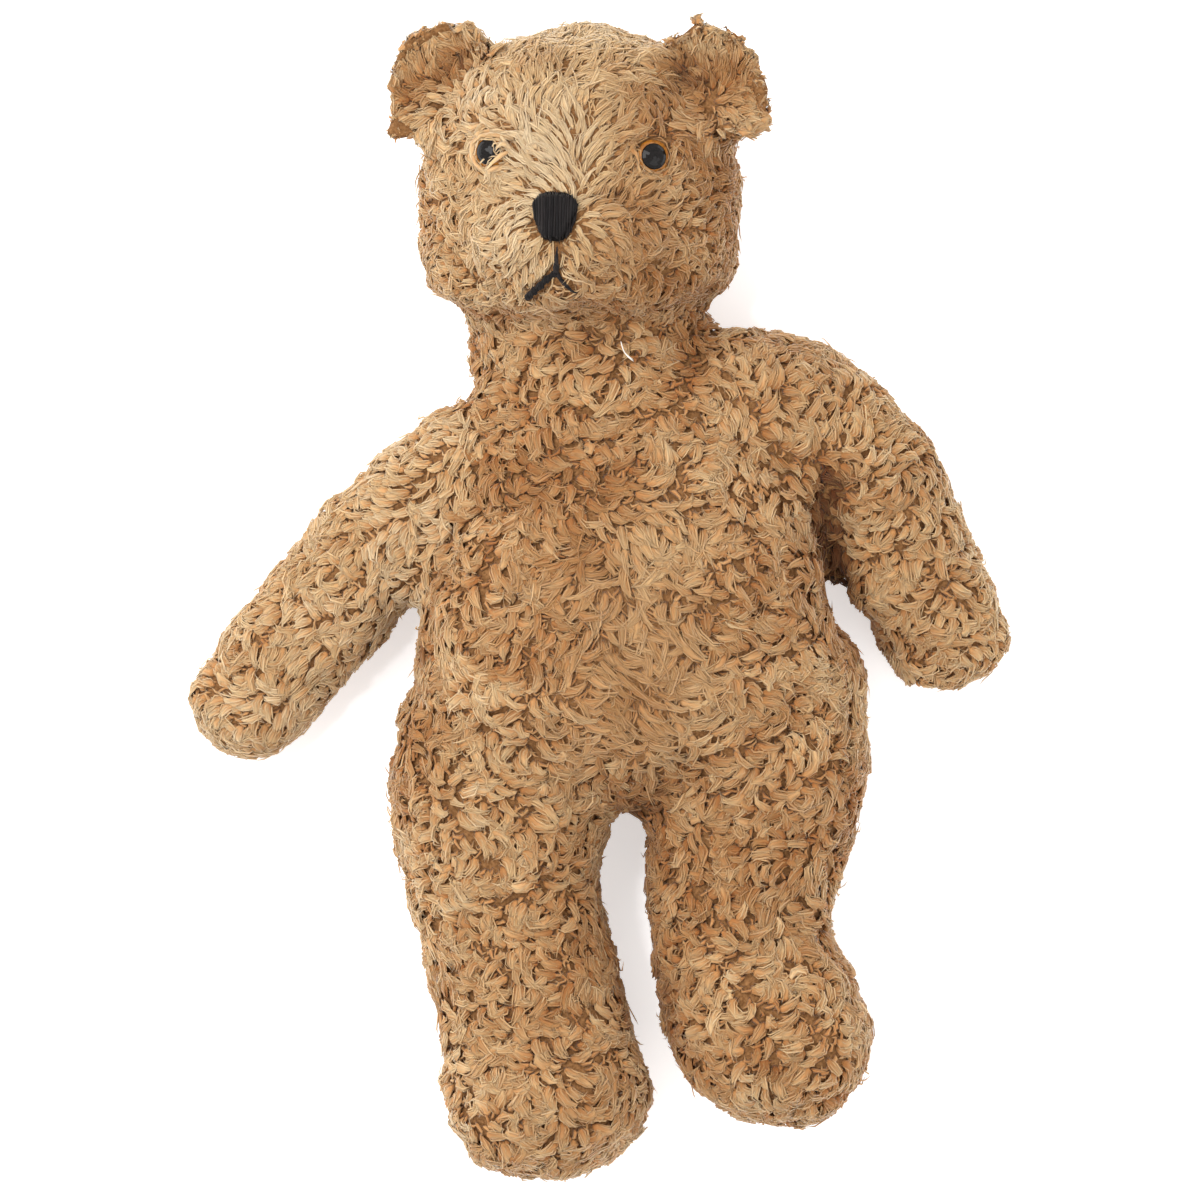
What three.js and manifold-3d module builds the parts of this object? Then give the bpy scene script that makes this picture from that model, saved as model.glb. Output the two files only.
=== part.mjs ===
// A floppy, unjointed teddy bear of curly plush, lying on its back.
// Millimetres. +Z is up, out of the bear's chest, and +Y runs from its feet to its head. "Left" and "right"
// are the bear's own, so its left side is +X. The middle of the finished group's box stands over the origin.
//
// Each plush panel is a solid as thick as its backing cloth and curly pile together. Panels meet edge to edge
// along their seams, and every bag that they make holds its own wad of stuffing. The head is drawn in a frame
// of its own, whose +Z comes out of the face and whose +Y leads to the crown.
import * as THREE from "three";
import { mergeVertices } from "three/addons/utils/BufferGeometryUtils.js";
import Module from "manifold-3d";

const wasm = await Module();
wasm.setup();

// ---- Driving dimensions -----------------------------------------------------------------------------------
const PLUSH = 6; // backing cloth and curly pile together
const GAP = 0.3; // between any two pieces that touch
const FLOOR = 0; // height of what the bear lies on
const FINE = { around: 18, along: 12 }; // facets of a bag's outside
const COARSE = { around: 12, along: 9 }; // facets of a bag's inside, where they don't show
const SQUARENESS = 2.3; // a stuffed bag's section: 2 is an ellipse, and more is squarer

// A bag is a soft tube. Each station is the [x, y, z] of the tube's middle, then half its width and half its
// height there. The tube rounds off over `start` and `end` millimetres at its two ends.
const TORSO = {
  stations: [
    [-3, -82, 36, 54, 26],
    [-2, -62, 39, 70, 36],
    [1, -40, 43, 82, 45],
    [1, -18, 45, 76, 47],
    [3, 6, 44, 71, 46],
    [1.5, 30, 41, 67, 43],
    [-1, 55, 37, 56, 39],
    [-1, 78, 34, 46, 35],
    [-3, 96, 33, 43, 31],
    [-3, 114, 33, 42, 29],
  ],
  start: 38,
  end: 10,
};
const ARMS = {
  right: {
    stations: [
      [-24, 58, 41, 25, 27],
      [-52, 45, 37, 28, 28],
      [-78, 26, 31, 26, 26],
      [-102, 5, 25, 24, 23.5],
      [-124, -16, 21, 23, 21.5],
      [-147, -43, 19, 22, 20.5],
    ],
    start: 16,
    end: 20,
  },
  left: {
    stations: [
      [26, 62, 41, 25, 27],
      [58, 61, 39, 28, 29],
      [82, 47, 35, 27, 28],
      [98, 22, 28, 24, 24.5],
      [106, -8, 23, 25, 22.5],
      [117, -48, 20, 22, 21],
    ],
    start: 16,
    end: 21,
  },
};
const LEGS = {
  right: {
    stations: [
      [-44, -16, 42, 32, 28],
      [-48, -42, 39, 38, 35],
      [-51, -68, 36, 41, 38],
      [-51.5, -92, 33, 37, 35],
      [-49, -122, 30, 34.5, 32],
      [-44.5, -152, 31, 36, 33],
      [-42.5, -180, 34.5, 39, 36.5],
      [-40, -208, 35, 38, 35],
    ],
    start: 20,
    end: 30,
  },
  left: {
    stations: [
      [42, -16, 42, 32, 28],
      [45, -42, 39, 38, 35],
      [42, -66, 36, 42, 38],
      [36, -92, 33, 37.5, 35],
      [30.5, -122, 30, 33, 32],
      [33, -147, 31, 36.5, 33],
      [38.5, -172, 34.5, 37.5, 36.5],
      [41, -199, 35, 34, 35],
    ],
    start: 20,
    end: 31,
  },
};

// Seams of the body: sides, arms and legs, and the sloping hip seams that meet at the crotch.
const SIDE_SEAM_Z = 42;
const ARM_SEAM_Z = 26;
const LEG_SEAM_X = { right: -47, left: 37 };
const CROTCH = [-4, -80];
const HIP_SLOPE = 33; // degrees

// From here to the next heading, places are in the head's own frame.
const HEAD_AT = [0.5, 146, 47];
const HEAD_ROLL = -6; // degrees, the crown leaning to the bear's left
const HEAD_YAW = -9; // degrees, the face turned to the bear's right
const HEAD = {
  stations: [
    [0, -56, 0, 50, 40],
    [0, -38, 0, 56, 46],
    [0, -14, 0, 59, 48],
    [0, 10, 0, 58, 48],
    [0, 34, 0, 50, 45],
    [0, 58, 0, 34, 36],
  ],
  start: 20,
  end: 26,
};
const MUZZLE = { at: [-1, -21, 30], radii: [38, 29, 27] };
const NECK_HOLE_R = 27;
const NECK_HOLE_Z = -4;
const GUSSET_TIP_Y = -32;
const GUSSET_SLOPE = 0.45; // the gusset's half width grows by this share of the way from its tip

const EYES = { right: [-25.7, 9.2], left: [32, 7.6] }; // sewn on by hand, so not quite even
const EYE_R = 6; // a 12 mm safety eye
const EYE_DOME = 3.2; // how far the iris and pupil bulge
const EYE_SINK = 3; // how deep the eye sits in the pile
const EYE_EDGE = 0.5;
const EYE_PLATE = 0.8; // the plate behind the iris, in one piece with the pupil and stem
const PUPIL_R = 4.4;
const STEM_R = 1.6;
const STEM_LENGTH = 17;
const STEM_POINT = 1.5;
const WASHER_R = 6.5;
const WASHER_T = 1.2;
const WASHER_SLACK = 1.5; // between the backing cloth and the washer

const NOSE_AT = [-0.6, -13.8];
const NOSE = { width: 16.5, height: 18.5, thickness: 3.2, bevel: 1.1, setback: 1.2, wider: 1.06 };

const YARN_R = 1.2;
const THIN_YARN_R = 0.85;
const YARN_SINK = 0.2; // how far the yarn's middle lies under the pile's surface
const STITCHES = {
  centre: { yarn: YARN_R, points: [[0.4, -24], [0.4, -28.5], [0.4, -33]] },
  right: { yarn: YARN_R, points: [[-2.4, -35], [-6, -38], [-11, -41.6]] },
  left: { yarn: THIN_YARN_R, points: [[2.8, -35.6], [4, -38.4], [6.4, -40.6]] },
};

const EARS = {
  right: { at: [-42, 34, 9], turn: [-10, -14, 10] },
  left: { at: [45, 34, 9], turn: [-10, 14, -10] },
};
const EAR_R = 22;
const EAR_CUP_R = 34; // the ear is part of a hollow ball of this radius
const EAR_PANEL = 5.5;
const EAR_HEIGHT_SHARE = 0.95; // its height over its width

// ---- Materials --------------------------------------------------------------------------------------------
const plush = new THREE.MeshStandardMaterial({ color: 0xb98f62, roughness: 0.95, metalness: 0 });
const wadding = new THREE.MeshStandardMaterial({ color: 0xe2d8c2, roughness: 1, metalness: 0 });
const amber = new THREE.MeshStandardMaterial({ color: 0x9a6420, roughness: 0.15, metalness: 0 });
const black = new THREE.MeshStandardMaterial({ color: 0x0d0b0b, roughness: 0.12, metalness: 0 });
const yarn = new THREE.MeshStandardMaterial({ color: 0x1b1918, roughness: 0.9, metalness: 0 });
const nylon = new THREE.MeshStandardMaterial({ color: 0xe9e6dc, roughness: 0.5, metalness: 0 });

// ---- Between geometries and solids ------------------------------------------------------------------------
/** A closed three.js geometry as a solid that can be joined and cut. */
function solidOf(geometry) {
  const bare = geometry.clone();
  bare.deleteAttribute("normal");
  bare.deleteAttribute("uv");
  const merged = mergeVertices(bare, 1e-4);
  return new wasm.Manifold(
    new wasm.Mesh({
      numProp: 3,
      vertProperties: new Float32Array(merged.getAttribute("position").array),
      triVerts: new Uint32Array(merged.index.array),
    }),
  );
}

/** A solid as a three.js geometry. */
function geometryOf(solid) {
  const mesh = solid.getMesh();
  const geometry = new THREE.BufferGeometry();
  geometry.setAttribute("position", new THREE.BufferAttribute(mesh.vertProperties, 3));
  geometry.setIndex(new THREE.BufferAttribute(mesh.triVerts, 1));
  geometry.computeVertexNormals();
  return geometry;
}

/** A group at a place in its parent, turned by degrees about its own X, Y and Z. */
function frameOf(parent, place, turn) {
  const group = new THREE.Group();
  group.position.set(...place);
  group.rotation.set(...turn.map(THREE.MathUtils.degToRad), "ZYX");
  parent.add(group);
  group.updateWorldMatrix(true, false);
  return group;
}

/** A solid of a group's own frame, in the bear's frame. */
function toBear(solid, group) {
  return solid.transform(group.matrixWorld.elements.slice());
}

/** A solid of the bear's frame, in a group's own frame. */
function fromBear(solid, group) {
  return solid.transform(group.matrixWorld.clone().invert().elements.slice());
}

/** Adds a solid of the group's own frame to the group, as one named piece. */
function addPiece(group, name, solid, material) {
  const mesh = new THREE.Mesh(geometryOf(solid), material);
  mesh.name = name;
  group.add(mesh);
}

// ---- Cutting and joining ----------------------------------------------------------------------------------
/** The parts of a solid on the two sides of a plane, with half a gap on each: [the normal's side, the other]. */
function split(solid, normal, offset) {
  const back = normal.map((n) => -n);
  return [solid.trimByPlane(normal, offset + GAP / 2), solid.trimByPlane(back, GAP / 2 - offset)];
}

/** The part of a solid above a height. */
function above(solid, height) {
  return solid.trimByPlane([0, 0, 1], height);
}

/** The largest body of a solid, without the crumbs that a cut leaves. */
function largest(solid) {
  return solid.decompose().reduce((best, body) => (body.volume() > best.volume() ? body : best));
}

/** All the solids of a list as one. */
function union(solids) {
  return solids.reduce((all, one) => all.add(one));
}

// ---- Shapes -----------------------------------------------------------------------------------------------
/** A closed soft tube through its stations, made smaller all round by `inset`, or larger if that is negative. */
function softTube({ stations, start, end }, inset, { around, along }) {
  const middle = new THREE.CatmullRomCurve3(stations.map(([x, y, z]) => new THREE.Vector3(x, y, z)));
  const halves = new THREE.CatmullRomCurve3(stations.map(([, , , a, b]) => new THREE.Vector3(a, b, 0)));
  const length = middle.getLength();
  const up = new THREE.Vector3(0, 0, 1);
  const points = [];
  for (let ring = 0; ring <= along; ring++) {
    const share = (1 - Math.cos((Math.PI * ring) / along)) / 2; // closer rings where the ends curve
    const distance = inset + share * (length - 2 * inset);
    const t = THREE.MathUtils.clamp(distance / length, 0, 1);
    const tangent = middle.getTangentAt(t);
    const place = middle.getPointAt(t).addScaledVector(tangent, distance - t * length);
    const half = halves.getPoint(middle.getUtoTmapping(t));
    const fromStart = Math.min(1, (distance - inset) / start);
    const fromEnd = Math.min(1, (length - inset - distance) / end);
    const round = Math.sqrt(Math.max(0, fromStart * (2 - fromStart) * fromEnd * (2 - fromEnd)));
    const side = new THREE.Vector3().crossVectors(tangent, up).normalize();
    const over = new THREE.Vector3().crossVectors(side, tangent);
    const isTip = ring === 0 || ring === along;
    for (let k = 0; k < (isTip ? 1 : around); k++) {
      const [c, s] = [Math.cos((2 * Math.PI * k) / around), Math.sin((2 * Math.PI * k) / around)];
      const reach = (Math.abs(c) ** SQUARENESS + Math.abs(s) ** SQUARENESS) ** (-1 / SQUARENESS);
      const size = isTip ? 0 : round * reach;
      const point = place.clone().addScaledVector(side, size * c * (half.x - inset));
      points.push(point.addScaledVector(over, size * s * (half.y - inset)));
    }
  }
  const last = points.length - 1;
  const at = (ring, k) => 1 + (ring - 1) * around + (k % around);
  const faces = [];
  for (let k = 0; k < around; k++) {
    faces.push(0, at(1, k), at(1, k + 1));
    faces.push(last, at(along - 1, k + 1), at(along - 1, k));
    for (let ring = 1; ring < along - 1; ring++) {
      const [a, b, c, d] = [at(ring, k), at(ring, k + 1), at(ring + 1, k), at(ring + 1, k + 1)];
      faces.push(a, c, b, b, c, d);
    }
  }
  const geometry = new THREE.BufferGeometry().setFromPoints(points);
  geometry.setIndex(faces);
  return solidOf(geometry);
}

/** An ellipsoid, smaller all round by `inset`. */
function ellipsoid({ at, radii }, inset, { around, along }) {
  const ball = new THREE.SphereGeometry(1, around, along);
  return solidOf(ball.scale(...radii.map((radius) => radius - inset)).translate(...at));
}

/** A round bar's geometry along Z, from one height to another. */
function rod(radius, low, high) {
  const geometry = new THREE.CylinderGeometry(radius, radius, high - low, FINE.around);
  return geometry.rotateX(Math.PI / 2).translate(0, 0, (low + high) / 2);
}

/** The geometry turned about Z from a profile of [radius, z] points. */
function turned(profile) {
  const points = profile.map(([radius, z]) => new THREE.Vector2(radius, z));
  return new THREE.LatheGeometry(points, FINE.around).rotateX(Math.PI / 2);
}

/** A profile's points along an arc, from one angle in degrees to another. */
function arc(centreR, centreZ, radius, from, to, steps) {
  return Array.from({ length: steps + 1 }, (_, i) => {
    const angle = THREE.MathUtils.degToRad(from + ((to - from) * i) / steps);
    return [centreR + radius * Math.cos(angle), centreZ + radius * Math.sin(angle)];
  });
}

/** A bag's solids: its outside, its inside, the wad that fills it, and the space that it takes from others. */
function bagOf(solidAt) {
  return {
    outer: above(solidAt(0, FINE), FLOOR),
    inside: above(solidAt(PLUSH, COARSE), FLOOR + PLUSH),
    wad: above(solidAt(PLUSH + GAP, COARSE), FLOOR + PLUSH + GAP),
    clear: solidAt(-GAP, FINE),
  };
}

// ---- The bear's frames and bags ---------------------------------------------------------------------------
const bear = new THREE.Group();
const head = frameOf(bear, HEAD_AT, [0, HEAD_YAW, HEAD_ROLL]);

const headShape = (inset, facets) => softTube(HEAD, inset, facets).add(ellipsoid(MUZZLE, inset, facets));
const trunkShape = (inset, facets) =>
  union([TORSO, LEGS.right, LEGS.left].map((shape) => softTube(shape, inset, facets)));

const headBag = bagOf((inset, facets) => toBear(headShape(inset, facets), head));
const trunk = bagOf(trunkShape);
const face = new THREE.Mesh(geometryOf(headShape(0, FINE)), plush);

/** The face's height at a place of the head's own frame. */
function faceHeight(x, y) {
  const start = 2 * HEAD_AT[2];
  const ray = new THREE.Raycaster(new THREE.Vector3(x, y, start), new THREE.Vector3(0, 0, -1));
  return start - ray.intersectObject(face)[0].distance;
}

/** The face's slope at a place of the head's own frame, as a turn in degrees. */
function faceTurn(x, y) {
  const step = 5;
  const tilt = (rise) => THREE.MathUtils.radToDeg(Math.atan2(rise, 2 * step));
  const rise = faceHeight(x, y + step) - faceHeight(x, y - step);
  const fall = faceHeight(x - step, y) - faceHeight(x + step, y);
  return [tilt(rise), tilt(fall), 0];
}

// ---- Eyes: an iris ring, a pupil on a stem that goes through the plush, and a lock washer ------------------
/** Adds one eye, and returns the space that it takes from the head, in the head's own frame. */
function buildEye(side) {
  const at = EYES[side];
  const place = [...at, faceHeight(...at) - EYE_SINK];
  const eye = frameOf(head, place, faceTurn(...at));
  const domeR = (EYE_R ** 2 + EYE_DOME ** 2) / (2 * EYE_DOME);
  const onDome = (radius) => [radius, EYE_DOME - domeR + Math.sqrt(domeR ** 2 - radius ** 2)];
  const irisIn = PUPIL_R + GAP;
  const iris = [
    [irisIn, 0],
    [EYE_R - EYE_EDGE, 0],
    [EYE_R, EYE_EDGE],
    ...[0.96, 0.91, 0.85].map((share) => onDome(EYE_R * share)),
    onDome(irisIn),
    [irisIn, 0],
  ];
  const pupil = [
    [0, -STEM_LENGTH],
    [STEM_R / 2, -STEM_LENGTH],
    [STEM_R, -STEM_LENGTH + STEM_POINT],
    [STEM_R, -EYE_PLATE],
    [EYE_R - 2 * EYE_EDGE, -EYE_PLATE],
    [EYE_R - 2 * EYE_EDGE, -GAP],
    [PUPIL_R, -GAP],
    ...[1, 0.77, 0.51, 0.26, 0].map((share) => onDome(PUPIL_R * share)),
  ];
  const washerTop = EYE_SINK - PLUSH - WASHER_SLACK;
  const washerLow = washerTop - WASHER_T;
  const washer = [
    [STEM_R + GAP, washerLow],
    [WASHER_R, washerLow],
    [WASHER_R, washerTop],
    [STEM_R + GAP, washerTop],
    [STEM_R + GAP, washerLow],
  ];
  addPiece(eye, `eye_${side}_iris`, solidOf(turned(iris)), amber);
  addPiece(eye, `eye_${side}_pupil_stem`, solidOf(turned(pupil)), black);
  addPiece(eye, `eye_${side}_washer`, solidOf(turned(washer)), nylon);
  const taken = union([
    solidOf(rod(EYE_R + GAP, -EYE_PLATE - GAP, 2 * EYE_R)),
    solidOf(rod(STEM_R + GAP, -STEM_LENGTH - GAP, 0)),
    solidOf(rod(WASHER_R + GAP, washerLow - GAP, washerTop + GAP)),
  ]);
  return fromBear(toBear(taken, eye), head);
}

// ---- Nose: a padded, shield-shaped patch of stitching -----------------------------------------------------
/** Adds the nose, and returns the space that it takes from the head, in the head's own frame. */
function buildNose() {
  const place = [...NOSE_AT, faceHeight(...NOSE_AT) - NOSE.setback];
  const nose = frameOf(head, place, faceTurn(...NOSE_AT));
  const [w, h] = [NOSE.width / 2, NOSE.height / 2];
  const outline = new THREE.Shape();
  outline.moveTo(-w * 0.35, -h * 0.86);
  outline.quadraticCurveTo(0, -h * 1.12, w * 0.35, -h * 0.86);
  outline.quadraticCurveTo(w * 0.85, -h * 0.2, w, h * 0.45);
  outline.quadraticCurveTo(w, h * 0.92, w * 0.6, h * 0.95);
  outline.quadraticCurveTo(0, h * 1.06, -w * 0.6, h * 0.95);
  outline.quadraticCurveTo(-w, h * 0.92, -w, h * 0.45);
  outline.quadraticCurveTo(-w * 0.85, -h * 0.2, -w * 0.35, -h * 0.86);
  const patch = new THREE.ExtrudeGeometry(outline, {
    depth: NOSE.thickness - NOSE.bevel,
    bevelThickness: NOSE.bevel,
    bevelSize: NOSE.bevel,
    bevelOffset: -NOSE.bevel,
    bevelSegments: 3,
    curveSegments: 4,
  });
  addPiece(nose, "nose_patch", solidOf(patch), yarn);
  const wider = patch.clone().scale(NOSE.wider, NOSE.wider, 1);
  const taken = union([-GAP, GAP].map((shift) => solidOf(wider.clone().translate(0, 0, shift))));
  return fromBear(toBear(taken, nose), head);
}

// ---- Mouth: three long stitches, each lying on the muzzle -------------------------------------------------
/** Adds the mouth, and returns the space that it takes from the head, in the head's own frame. */
function buildMouth() {
  const sides = 8;
  const channels = Object.entries(STITCHES).map(([name, { yarn: radius, points }]) => {
    const route = points.map(([x, y]) => new THREE.Vector3(x, y, faceHeight(x, y) - YARN_SINK));
    const extrudePath = new THREE.CatmullRomCurve3(route);
    const strand = (size) => {
      const circle = new THREE.EllipseCurve(0, 0, size, size).getPoints(sides);
      return solidOf(new THREE.ExtrudeGeometry(new THREE.Shape(circle), { steps: 6, extrudePath }));
    };
    addPiece(head, `mouth_${name}_stitch`, strand(radius), yarn);
    return strand(YARN_R + 2 * GAP);
  });
  return union(channels);
}

// ---- Head: two side panels and a gusset, sewn along the gusset's edges and under the chin -----------------
function buildHead(taken) {
  const neck = rod(NECK_HOLE_R, 0, 2 * NECK_HOLE_R).rotateX(Math.PI / 2).translate(0, -NECK_HOLE_R, NECK_HOLE_Z);
  const skin = fromBear(headBag.outer.subtract(headBag.inside), head).subtract(solidOf(neck)).subtract(taken);
  const slant = Math.hypot(1, GUSSET_SLOPE);
  const offset = (-GUSSET_TIP_Y * GUSSET_SLOPE) / slant;
  const seamOf = (sign) => [sign / slant, -GUSSET_SLOPE / slant, 0];
  const [leftOfGusset, rest] = split(skin, seamOf(1), offset);
  const [rightOfGusset] = split(skin, seamOf(-1), offset);
  const [, gusset] = split(rest, seamOf(-1), offset);
  addPiece(head, "head_left_panel", largest(leftOfGusset.trimByPlane([1, 0, 0], GAP / 2)), plush);
  addPiece(head, "head_right_panel", largest(rightOfGusset.trimByPlane([-1, 0, 0], GAP / 2)), plush);
  addPiece(head, "head_gusset_panel", largest(gusset), plush);
  addPiece(head, "head_stuffing", largest(fromBear(headBag.wad, head).subtract(taken)), wadding);
}

// ---- Ears: two cupped panels each, sewn along the rim and left unstuffed ----------------------------------
function buildEar(side) {
  const { at, turn } = EARS[side];
  const ear = frameOf(head, at, turn);
  const headSpace = fromBear(headBag.clear, ear);
  const panel = (outerR) => {
    const middleR = outerR - EAR_PANEL / 2;
    const open = Math.asin((EAR_R - EAR_PANEL / 2) / middleR);
    const degrees = THREE.MathUtils.radToDeg(open);
    const bowl = turned([
      ...arc(0, 0, outerR, -90, degrees - 90, 4),
      ...arc(middleR * Math.sin(open), -middleR * Math.cos(open), EAR_PANEL / 2, degrees - 45, degrees + 45, 2),
      ...arc(0, 0, outerR - EAR_PANEL, degrees - 90, -90, 4),
    ]);
    const placed = bowl.scale(1, EAR_HEIGHT_SHARE, 1).translate(0, 0, EAR_CUP_R);
    return largest(solidOf(placed).subtract(headSpace));
  };
  addPiece(ear, `ear_${side}_back_panel`, panel(EAR_CUP_R), plush);
  addPiece(ear, `ear_${side}_front_panel`, panel(EAR_CUP_R - EAR_PANEL - GAP), plush);
}

// ---- Torso: four panels with centre and side seams, open at the neck, the arms and the legs ---------------
/** A hip seam's plane as [normal towards the foot, offset]. */
function hipSeam(side) {
  const slope = THREE.MathUtils.degToRad(HIP_SLOPE);
  const normal = [(side === "left" ? 1 : -1) * Math.sin(slope), -Math.cos(slope), 0];
  return [normal, normal[0] * CROTCH[0] + normal[1] * CROTCH[1]];
}

function buildTorso(arms) {
  const aboveHips = (solid) =>
    ["right", "left"].reduce((kept, side) => split(kept, ...hipSeam(side))[1], solid).subtract(headBag.clear);
  const closed = aboveHips(trunk.outer.subtract(trunk.inside));
  const skin = arms.reduce((kept, arm) => kept.subtract(arm.inside), closed);
  const [front, back] = split(skin, [0, 0, 1], SIDE_SEAM_Z);
  for (const [name, half] of Object.entries({ front, back })) {
    const [left, right] = split(half, [1, 0, 0], 0);
    addPiece(bear, `torso_${name}_left_panel`, largest(left), plush);
    addPiece(bear, `torso_${name}_right_panel`, largest(right), plush);
  }
  addPiece(bear, "torso_stuffing", largest(aboveHips(trunk.wad)), wadding);
}

// ---- Legs: an inner and an outer panel each, open at the hip ----------------------------------------------
function buildLeg(side) {
  const sign = side === "left" ? 1 : -1;
  const out = [sign, 0, 0];
  const belowHip = (solid) => split(split(solid, ...hipSeam(side))[0], out, sign * CROTCH[0])[0];
  const [outer, inner] = split(belowHip(trunk.outer.subtract(trunk.inside)), out, sign * LEG_SEAM_X[side]);
  addPiece(bear, `leg_${side}_inner_panel`, largest(inner), plush);
  addPiece(bear, `leg_${side}_outer_panel`, largest(outer), plush);
  addPiece(bear, `leg_${side}_stuffing`, largest(belowHip(trunk.wad)), wadding);
}

// ---- Arms: a front and a back panel each, open where the arm is sewn to the torso -------------------------
function buildArm(side, arm) {
  const skin = largest(arm.outer.subtract(arm.inside).subtract(trunk.clear));
  const [front, back] = split(skin, [0, 0, 1], ARM_SEAM_Z);
  addPiece(bear, `arm_${side}_front_panel`, largest(front), plush);
  addPiece(bear, `arm_${side}_back_panel`, largest(back), plush);
  addPiece(bear, `arm_${side}_stuffing`, largest(arm.wad.subtract(trunk.inside)), wadding);
}

// ---- The bear ---------------------------------------------------------------------------------------------
const armBags = Object.entries(ARMS).map(([side, shape]) => [
  side,
  bagOf((inset, facets) => softTube(shape, inset, facets)),
]);
buildHead(union([buildEye("right"), buildEye("left"), buildNose(), buildMouth()]));
buildEar("right");
buildEar("left");
buildTorso(armBags.map(([, arm]) => arm));
buildLeg("right");
buildLeg("left");
for (const [side, arm] of armBags) {
  buildArm(side, arm);
}

const box = new THREE.Box3().setFromObject(bear, true);
const middle = box.getCenter(new THREE.Vector3());
bear.position.set(-middle.x, -middle.y, -box.min.z);

export default bear;
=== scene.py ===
"""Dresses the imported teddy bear: its sewn plush panels with curled pile, its wadding, eyes, nose and mouth.

Every place is worked out from the frame, in metres, in the part's own axes: +Y to the crown of the head,
+X to the bear's left and +Z out of its chest. The bear lies on its back on the floor.
"""

import logging
import math
from dataclasses import dataclass, field
from enum import Enum
from typing import Iterable, Sequence

import bpy
import numpy as np
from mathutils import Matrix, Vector
from mathutils.bvhtree import BVHTree
from mathutils.kdtree import KDTree


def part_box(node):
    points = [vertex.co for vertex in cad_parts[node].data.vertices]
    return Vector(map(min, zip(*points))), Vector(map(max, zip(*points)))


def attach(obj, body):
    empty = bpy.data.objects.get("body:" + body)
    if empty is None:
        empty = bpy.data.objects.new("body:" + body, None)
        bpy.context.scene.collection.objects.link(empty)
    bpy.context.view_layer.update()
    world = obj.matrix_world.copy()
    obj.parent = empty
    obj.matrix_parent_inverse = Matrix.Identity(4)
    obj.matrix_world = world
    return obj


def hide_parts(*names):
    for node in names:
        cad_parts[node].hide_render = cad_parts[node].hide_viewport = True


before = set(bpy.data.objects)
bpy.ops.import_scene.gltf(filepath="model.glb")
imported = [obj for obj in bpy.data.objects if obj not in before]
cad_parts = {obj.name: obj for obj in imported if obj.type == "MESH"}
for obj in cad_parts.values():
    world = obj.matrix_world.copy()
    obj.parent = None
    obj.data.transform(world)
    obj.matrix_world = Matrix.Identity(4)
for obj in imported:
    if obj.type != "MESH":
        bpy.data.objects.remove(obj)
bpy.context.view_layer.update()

LOG = logging.getLogger("bear")
MM = 0.001
SEED = 20
BODY = "root"
UP = np.array([0.0, 0.0, 1.0])
FLAT = np.array([1.0, 1.0, 0.0])
WHITE = (1.0, 1.0, 1.0, 1.0)
DROP_FROM = 0.2
Colour = tuple[float, float, float, float]


# ---------------------------------------------------------------- small helpers


def unit(vectors: np.ndarray) -> np.ndarray:
    """Vectors scaled to length one."""
    size = np.linalg.norm(vectors, axis=-1, keepdims=True)
    return vectors / np.maximum(size, 1e-12)


def smooth(low: float, high: float, value: np.ndarray) -> np.ndarray:
    """A soft step from 0 at low to 1 at high."""
    share = np.clip((value - low) / (high - low), 0.0, 1.0)
    return share * share * (3.0 - 2.0 * share)


def turned(vectors: np.ndarray, axes: np.ndarray, angles: np.ndarray) -> np.ndarray:
    """Vectors turned about unit axes.

    Args:
        vectors: One row for each vector.
        axes: The axis of each vector.
        angles: The turn of each vector, in radians.

    Returns:
        The turned vectors.
    """
    cosine, sine = np.cos(angles)[:, None], np.sin(angles)[:, None]
    along = np.sum(vectors * axes, axis=1, keepdims=True) * axes
    return vectors * cosine + np.cross(axes, vectors) * sine + along * (1.0 - cosine)


def linear(red: int, green: int, blue: int) -> Colour:
    """A display colour from 0 to 255 as the linear colour that a shader takes.

    Args:
        red: Its red.
        green: Its green.
        blue: Its blue.

    Returns:
        Red, green, blue and alpha from 0 to 1.
    """
    parts = [c / 255.0 for c in (red, green, blue)]
    done = [c / 12.92 if c < 0.04045 else ((c + 0.055) / 1.055) ** 2.4 for c in parts]
    return done[0], done[1], done[2], 1.0


def place(node: str, across: float, along: float, out: float) -> np.ndarray:
    """A point given as shares of a node's box.

    Args:
        node: The CAD node.
        across: Share of the box along X.
        along: Share of the box along Y.
        out: Share of the box along Z.

    Returns:
        The point in metres.
    """
    low, high = (np.array(corner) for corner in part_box(node))
    return low + (high - low) * np.array([across, along, out])


def node_arrays(names: Iterable[str]) -> tuple[np.ndarray, np.ndarray, np.ndarray]:
    """The triangles of several CAD nodes as one soup.

    Args:
        names: The CAD nodes.

    Returns:
        The points, the triangles, and for each triangle the number of its node in names.
    """
    points, faces, owner, count = [], [], [], 0
    for number, name in enumerate(names):
        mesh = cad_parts[name].data
        mesh.calc_loop_triangles()
        spots = np.empty(len(mesh.vertices) * 3, np.float32)
        mesh.vertices.foreach_get("co", spots)
        corners = np.empty(len(mesh.loop_triangles) * 3, np.int32)
        mesh.loop_triangles.foreach_get("vertices", corners)
        points.append(spots.reshape(-1, 3))
        faces.append(corners.reshape(-1, 3) + count)
        owner.append(np.full(len(corners) // 3, number))
        count += len(mesh.vertices)
    return np.concatenate(points).astype(float), np.concatenate(faces), np.concatenate(owner)


def dropped(tree: BVHTree, points: np.ndarray, above: float | np.ndarray) -> np.ndarray:
    """Points dropped straight down onto a surface, then raised by a little.

    Args:
        tree: The surface.
        points: The points.
        above: How far above the surface they end, one for all or one for each.

    Returns:
        The points on the surface. A point that misses it keeps its own height.
    """
    done = points.copy()
    for row, (x, y, _) in enumerate(points.tolist()):
        hit = tree.ray_cast((x, y, DROP_FROM), (0.0, 0.0, -1.0))[0]
        if hit:
            done[row, 2] = hit[2]
    done[:, 2] += above
    return done


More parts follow.
